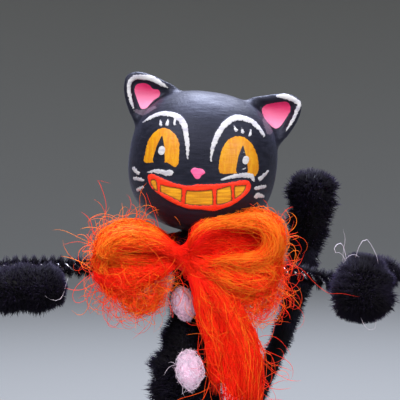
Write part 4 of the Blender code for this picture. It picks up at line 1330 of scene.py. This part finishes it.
HANGING_LOCKS = (
    (((-16.5, -6.5), (-15.0, -10.5), (-11.5, -13.4), (-7.5, -12.8), (-4.8, -9.5), (-3.4, -5.0)),
     ((-12.0, -6.0), (-11.5, -8.0), (-10, -9.2), (-8, -8.8), (-6.6, -7.2), (-5.5, -4.5)),
     150, (0.3, 0.9), True),
    (((11.0, -7.5), (12.5, -12.0), (16.5, -14.8), (20.5, -12.8), (23.0, -8.0), (23.6, -4.0)),
     ((13.5, -8), (15.0, -10.0), (17.0, -11.0), (19.5, -10.0), (21, -7.5), (22, -5)),
     90, (0.2, 0.8), True),
)


def comb_all(locks, seed, points, radii, share=1.0, **options):
    """Every lock combed, with this share of its full count of fibres."""
    meshes = []
    for n, (one, two, count, tones, front_side) in enumerate(locks):
        fibres = round(count * share)
        route, tone = comb(one, two, fibres, seed + n, tones, front_side, points, **options)
        meshes.append(strands("lock", route, tone, radii, seed + 50 + n))
    return meshes


LOOP_RADII, TAIL_RADII, COVER_RADII = (0.06, 0.14), (0.05, 0.12), (0.05, 0.11)
right_meshes = comb_all(RIGHT_LOCKS, 100, 8, LOOP_RADII, share=0.58, trim=(0.08, 0.3))
left_meshes = comb_all(LEFT_LOCKS, 200, 9, LOOP_RADII, share=0.56, trim=(0.08, 0.3))
tail_meshes = comb_all(TAIL_LOCKS, 300, 7, TAIL_RADII, share=0.85, trim=(0.05, 0.4), loose=0.4)
knot_meshes = comb_all(COVER_LOCKS, 350, 7, COVER_RADII, share=0.7, trim=(0.25, 0.25), loose=0.4,
                       lift=(0.2, 1.2))


def comb_neck_band(count, points, radii, seed):
    """Fibres that run along the neck band, round the back of the neck."""
    rng = np.random.default_rng(seed)
    start = rng.uniform(-0.5, math.pi - 0.6, (count, 1))
    span = rng.uniform(0.7, 1.6, (count, 1))
    share = np.linspace(0, 1, points)[None]
    slant = rng.uniform(0, math.tau, (count, 1)) + rng.normal(0, 0.7, (count, 1)) * share
    arch = 0.94 + 0.06 * np.sin(math.pi * share)
    lifted = RING_THICKNESS * rng.uniform(0.84, 1.12, (count, 1)) * arch
    route = neck_band(start + span * share, lifted * np.cos(slant), lifted * np.sin(slant))
    tone = np.repeat(rng.uniform(0.1, 0.9, (count, 1)), points, axis=1)
    return strands("neck band", route, tone, radii, seed + 1)


knot_meshes.append(comb_neck_band(230, 8, (0.08, 0.16), 380))


def frizz(locks, brighter, seed, share):
    """The front locks combed once more, as far fewer and much more wayward fibres, with raised
    tones: painted light on the loose fibres.
    """
    lighter = [(one, two, count, (tones[0] + brighter, tones[1] + brighter), True)
               for one, two, count, tones, front_side in locks if front_side]
    return comb_all(lighter, seed, 12, (0.032, 0.065), share=share,
                    loose=1.1, lift=(0.6, 1.9), trim=(0.7, 0.7))


frizz_meshes = frizz(RIGHT_LOCKS + LEFT_LOCKS, 0.26, 600, 0.21)
frizz_meshes += frizz(TAIL_LOCKS + COVER_LOCKS, 0.3, 640, 0.14)
frizz_meshes += comb_all(HANGING_LOCKS, 680, 14, (0.04, 0.075), loose=1.1, lift=(0.2, 1.6),
                         trim=(0.25, 0.25))
dress("bow_body", body_mesh, orange_wool, "bow")
for name, meshes in (
    ("bow_right_loop", right_meshes), ("bow_left_loop", left_meshes),
    ("bow_knot_locks", knot_meshes), ("bow_frizz", frizz_meshes), ("bow_tails", tail_meshes),
):
    dress(name, gathered(name, meshes), orange_wool, "bow")

# %% [markdown]
# Loose ends. Wool never lies quite flat: single fibres leave the bow and curl back. Each
# curl is walked step by step with a slowly changing turn, from a start on the bow's edge.


# %% Curls and flyaways
EDGE_POINTS = 60


def curls(starts, seed, tightness, length, outward, tone, radii=(0.04, 0.075), points=14):
    """One curl from each start. The tightness is how far it turns, in radians, in a millimetre."""
    rng = np.random.default_rng(seed)
    count = len(starts)
    step = rng.uniform(*length, count)[:, None] * MM / (points - 1)
    way = unit(outward + rng.normal(0, 0.9, (count, 3)))
    axis = unit(rng.normal(0, 1, (count, 3)) * (0.45, 1.4, 0.45))
    turn = rng.uniform(*tightness, count)[:, None] * rng.choice((-1, 1), (count, 1))
    drift = rng.normal(0, 0.9, (count, 1))
    routes = [starts]
    for n in range(points - 1):
        angle = turn * step / MM * (1 + drift * math.sin(0.45 * n))
        way = unit(way * np.cos(angle) + np.cross(axis, way) * np.sin(angle))
        axis = unit(axis + rng.normal(0, 0.10, (count, 3)))
        routes.append(routes[-1] + way * step)
    routes = np.stack(routes, axis=1)
    tones = np.repeat(rng.uniform(*tone, count)[:, None], points, axis=1)
    return strands("curls", routes, tones, radii, seed + 1)


def starts_along(edge, count, seed, depth=(-3.0, 1.0), inward=0.8):
    """Points scattered along an edge, given in mm from the knot, and the way out from there."""
    rng = np.random.default_rng(seed)
    line = even_count(edge, EDGE_POINTS)
    at = rng.random(count) * (EDGE_POINTS - 1)
    low = np.clip(at.astype(int), 0, EDGE_POINTS - 2)
    flat = line[low] + (line[low + 1] - line[low]) * (at - low)[:, None]
    middle = line.mean(axis=0)
    out = unit(flat - middle)
    flat = flat - out * rng.random((count, 1)) * inward
    places = KNOT + np.stack((flat[:, 0], rng.uniform(*depth, count), flat[:, 1]), axis=1) * MM
    return places, np.stack((out[:, 0], np.full(count, -0.3), out[:, 1]), axis=1)


def curl_set(edge, count, seed, tightness, length, tone, **options):
    places, out = starts_along(edge, count, seed, **options)
    return curls(places, seed + 7, tightness, length, out, tone)


RIGHT_EDGE = (
    (-9.4, 8.3), (-15.5, 8.3), (-20, 4.7), (-21, 1), (-22, -4), (-18, -8), (-12, -8.6), (-6, -5),
)
LEFT_EDGE = (
    (16, 10.8), (18.5, 11), (23, 7), (24, 3), (23, -1), (23, -6), (19, -9.4), (12, -8.8), (7, -5),
)
UNDER_RIGHT = ((-18, -8.0), (-14, -9.5), (-10, -8.5), (-6, -6), (-4, -4))
UNDER_LEFT = ((23, -2), (23.3, -5), (21.5, -8.5), (17, -10.2), (13, -10), (10, -8))
TAIL_EDGE = ((8, -6), (13, -11), (16.5, -17), (18.4, -24), (19, -32), (18, -38))
BETWEEN_TAILS = ((3.4, -8), (4.3, -12), (5.4, -18), (6.2, -26), (6.4, -32))
DROOP = (-3.5, 2.0)
loose = [
    curl_set(RIGHT_EDGE, 120, 400, (0.1, 0.5), (4, 13), (0.4, 1.0)),
    curl_set(LEFT_EDGE, 90, 410, (0.1, 0.5), (3, 11), (0.4, 1.0)),
    curl_set(UNDER_RIGHT, 220, 420, (0.15, 0.6), (7, 16), (0.3, 0.9), depth=DROOP, inward=2.5),
    curl_set(UNDER_LEFT, 160, 430, (0.15, 0.7), (6, 14), (0.2, 0.8), depth=DROOP, inward=2.0),
    curl_set(TAIL_EDGE, 80, 440, (0.05, 0.4), (5, 14), (0.2, 0.8), depth=(-1.5, 1.5), inward=1.5),
    curl_set(BETWEEN_TAILS, 50, 450, (0.05, 0.4), (5, 12), (0.2, 0.8), depth=(-2, 1), inward=1.0),
]
LONG_STRANDS = (
    ((22.0, -10, 74.5), (26.8, -12, 73.1), (30.4, -13, 69.5), (33.3, -16, 67.4),
     (36.0, -18.4, 67.5), (40.1, -18.6, 66.7)),
    ((-19.5, -10, 79.5), (-22.0, -10, 81.3), (-22.8, -10, 83.9), (-24.0, -10, 85.6),
     (-25.1, -10, 86.3)),
    ((-22.0, -10, 72.0), (-24.1, -11, 70.6), (-26.2, -12, 68.5), (-27.0, -12, 66.4),
     (-26.2, -12, 64.9), (-24.4, -12, 65.2), (-23.0, -11, 66.7), (-22.4, -10, 69.0)),
    ((-19.4, -10, 79.0), (-19.9, -10, 82.0), (-19.4, -10, 85.6), (-19.2, -10, 88.5),
     (-20.5, -10, 92.7), (-21.2, -10, 93.9), (-19.9, -10, 93.6), (-18.2, -10, 93.2)),
    ((-9.5, -12.6, 90.9), (-8.6, -12.4, 88.5), (-7.6, -12.6, 86.2), (-6.7, -13, 83.5),
     (-6.2, -13, 80.5)),
)
routes = np.array([FIGURE + even_count(strand, 18) * MM for strand in LONG_STRANDS])
loose.append(strands("long strands", routes, np.full(routes.shape[:2], 0.35), (0.05, 0.08), 460))
dress("bow_strays", gathered("bow_strays", loose), orange_wool, "bow")

# %% [markdown]
# The buttons are two pinches of white wool. A small soft body carries short fibres that lie
# mostly downwards, with a wispy tip at the bottom of the lower one.


# %% Wool buttons
TUFT_POINTS = 6


def wool_tuft(name, node, seed, count, lean, point, tones):
    """A soft body that leans and comes to a point below, with fibres laid all over it."""
    low, high = (np.array(v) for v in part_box(node))
    centre, half = (low + high) / 2, (high - low) / 2
    rng = np.random.default_rng(seed)
    bm = bmesh.new()
    bmesh.ops.create_icosphere(bm, subdivisions=4, radius=1.0)
    for vert in bm.verts:
        x, y, z = vert.co
        narrow = 1.0 - point * max(-z, 0.0) ** 2 - 0.12 * max(z, 0.0)
        vert.co = Vector(centre + half * 0.72 * np.array((x * narrow + lean * z, y * narrow, z)))
    bm.normal_update()
    body = mesh_from(bm, name)
    store(body, "tone", np.full(len(body.vertices), tones[0]))
    pick = rng.integers(0, len(body.vertices), count)
    at = np.array([body.vertices[i].co for i in pick])
    normal = np.array([body.vertices[i].normal for i in pick])
    down = np.array((-0.25 * lean, 0.0, -1.0)) + rng.normal(0, 1.0, (count, 3))
    way = unit(down - normal * (down * normal).sum(axis=1, keepdims=True))
    bend = rng.normal(0, 0.55, (count, 3))
    length = rng.uniform(1.2, 2.9, count)[:, None] * MM
    lifts = rng.uniform(0.1, 1.0, count)[:, None]
    routes = []
    for t in np.linspace(-0.5, 0.5, TUFT_POINTS):
        hug = -normal * (2.2 * t * t) * length * 0.32
        base = at + normal * rng.uniform(0.02, 0.05) * MM
        routes.append(base + way * t * length + bend * t * t * length + hug + normal * lifts * MM)
    routes = np.stack(routes, axis=1)
    shade = np.repeat(rng.uniform(*tones, count)[:, None], TUFT_POINTS, axis=1)
    fur = strands(name, routes, shade, (0.035, 0.075), seed + 1)
    few = count // 5
    fuzz = curls(at[:few], seed + 2, (0.1, 0.8), (0.7, 2.2), normal[:few], tones,
                 (0.015, 0.03), TUFT_POINTS)
    dress(f"{node}_wool", gathered(name, [body, fur, fuzz]), white_wool, node)


wool_tuft("upper tuft", "upper_button", 500, 700, -0.30, 0.15, (0.30, 0.90))
wool_tuft("lower tuft", "lower_button", 520, 850, -0.12, 0.40, (0.40, 1.0))

# %% [markdown]
# A few long pale hairs are caught in the black pile: a tangle above the left fist, a loop
# under the right paw and one under the fist. Others leave the lower button's side and tip.
# They are drawn one by one, in millimetres.

# %% Hairs caught in the pile
LEFT_HAIRS = (
    ((37.6, -9, 70.0), (37.2, -10, 76.0), (37.6, -11, 79.6), (37.2, -11, 82.2)),
    ((39.0, -10, 72.0), (36.9, -11, 76.3), (35.1, -12, 76.8), (35.2, -12, 78.3), (37.0, -11, 78.6),
     (38.6, -9, 73.0)),
    ((39.6, -9, 72.0), (40.6, -12, 77.6), (42.2, -13, 80.0), (44.0, -12, 78.0), (45.3, -12, 74.6),
     (45.8, -9, 70.0)),
    ((36.6, -9, 72.5), (38.2, -12, 75.8), (40.6, -12, 75.9), (42.6, -9, 72.5)),
    ((40.6, -12, 63.4), (41.4, -14, 60.6), (43.0, -13, 58.6), (44.8, -12, 59.4),
     (44.0, -10, 63.6)),
)
RIGHT_HAIRS = (
    ((-35.0, -8, 70.6), (-34.4, -12, 67.8), (-32.2, -13, 65.8), (-29.6, -13, 66.0),
     (-28.4, -8, 70.6)),
    ((-38.0, -8, 70.6), (-37.4, -12, 67.6), (-35.6, -12, 66.8), (-34.4, -8, 70.6)),
)
BUTTON_HAIRS = (
    ((-1.0, -10.5, 50.0), (-2.6, -12.0, 50.4), (-3.4, -12.6, 50.9), (-4.2, -12.8, 50.8)),
    ((-1.0, -10.5, 49.6), (-3.0, -12.0, 50.1), (-4.4, -12.8, 49.4), (-5.4, -13.0, 47.7)),
    ((-0.6, -10.5, 47.0), (-0.9, -12.2, 45.2), (-0.9, -12.4, 43.6), (-0.4, -12.4, 42.6)),
    ((0.2, -10.5, 47.0), (0.0, -12.2, 45.0), (-0.5, -12.5, 43.8), (-1.3, -12.4, 43.3)),
)
for name, node, hairs in (
    ("left_fist_hairs", "left_arm", LEFT_HAIRS), ("right_paw_hairs", "right_arm", RIGHT_HAIRS),
    ("lower_button_hairs", "lower_button", BUTTON_HAIRS),
):
    routes = np.array([FIGURE + even_count(hair, 16) * MM for hair in hairs])
    mesh = strands(name, routes, np.full(routes.shape[:2], 0.9), (0.035, 0.06), 700)
    dress(name, mesh, white_wool, node)
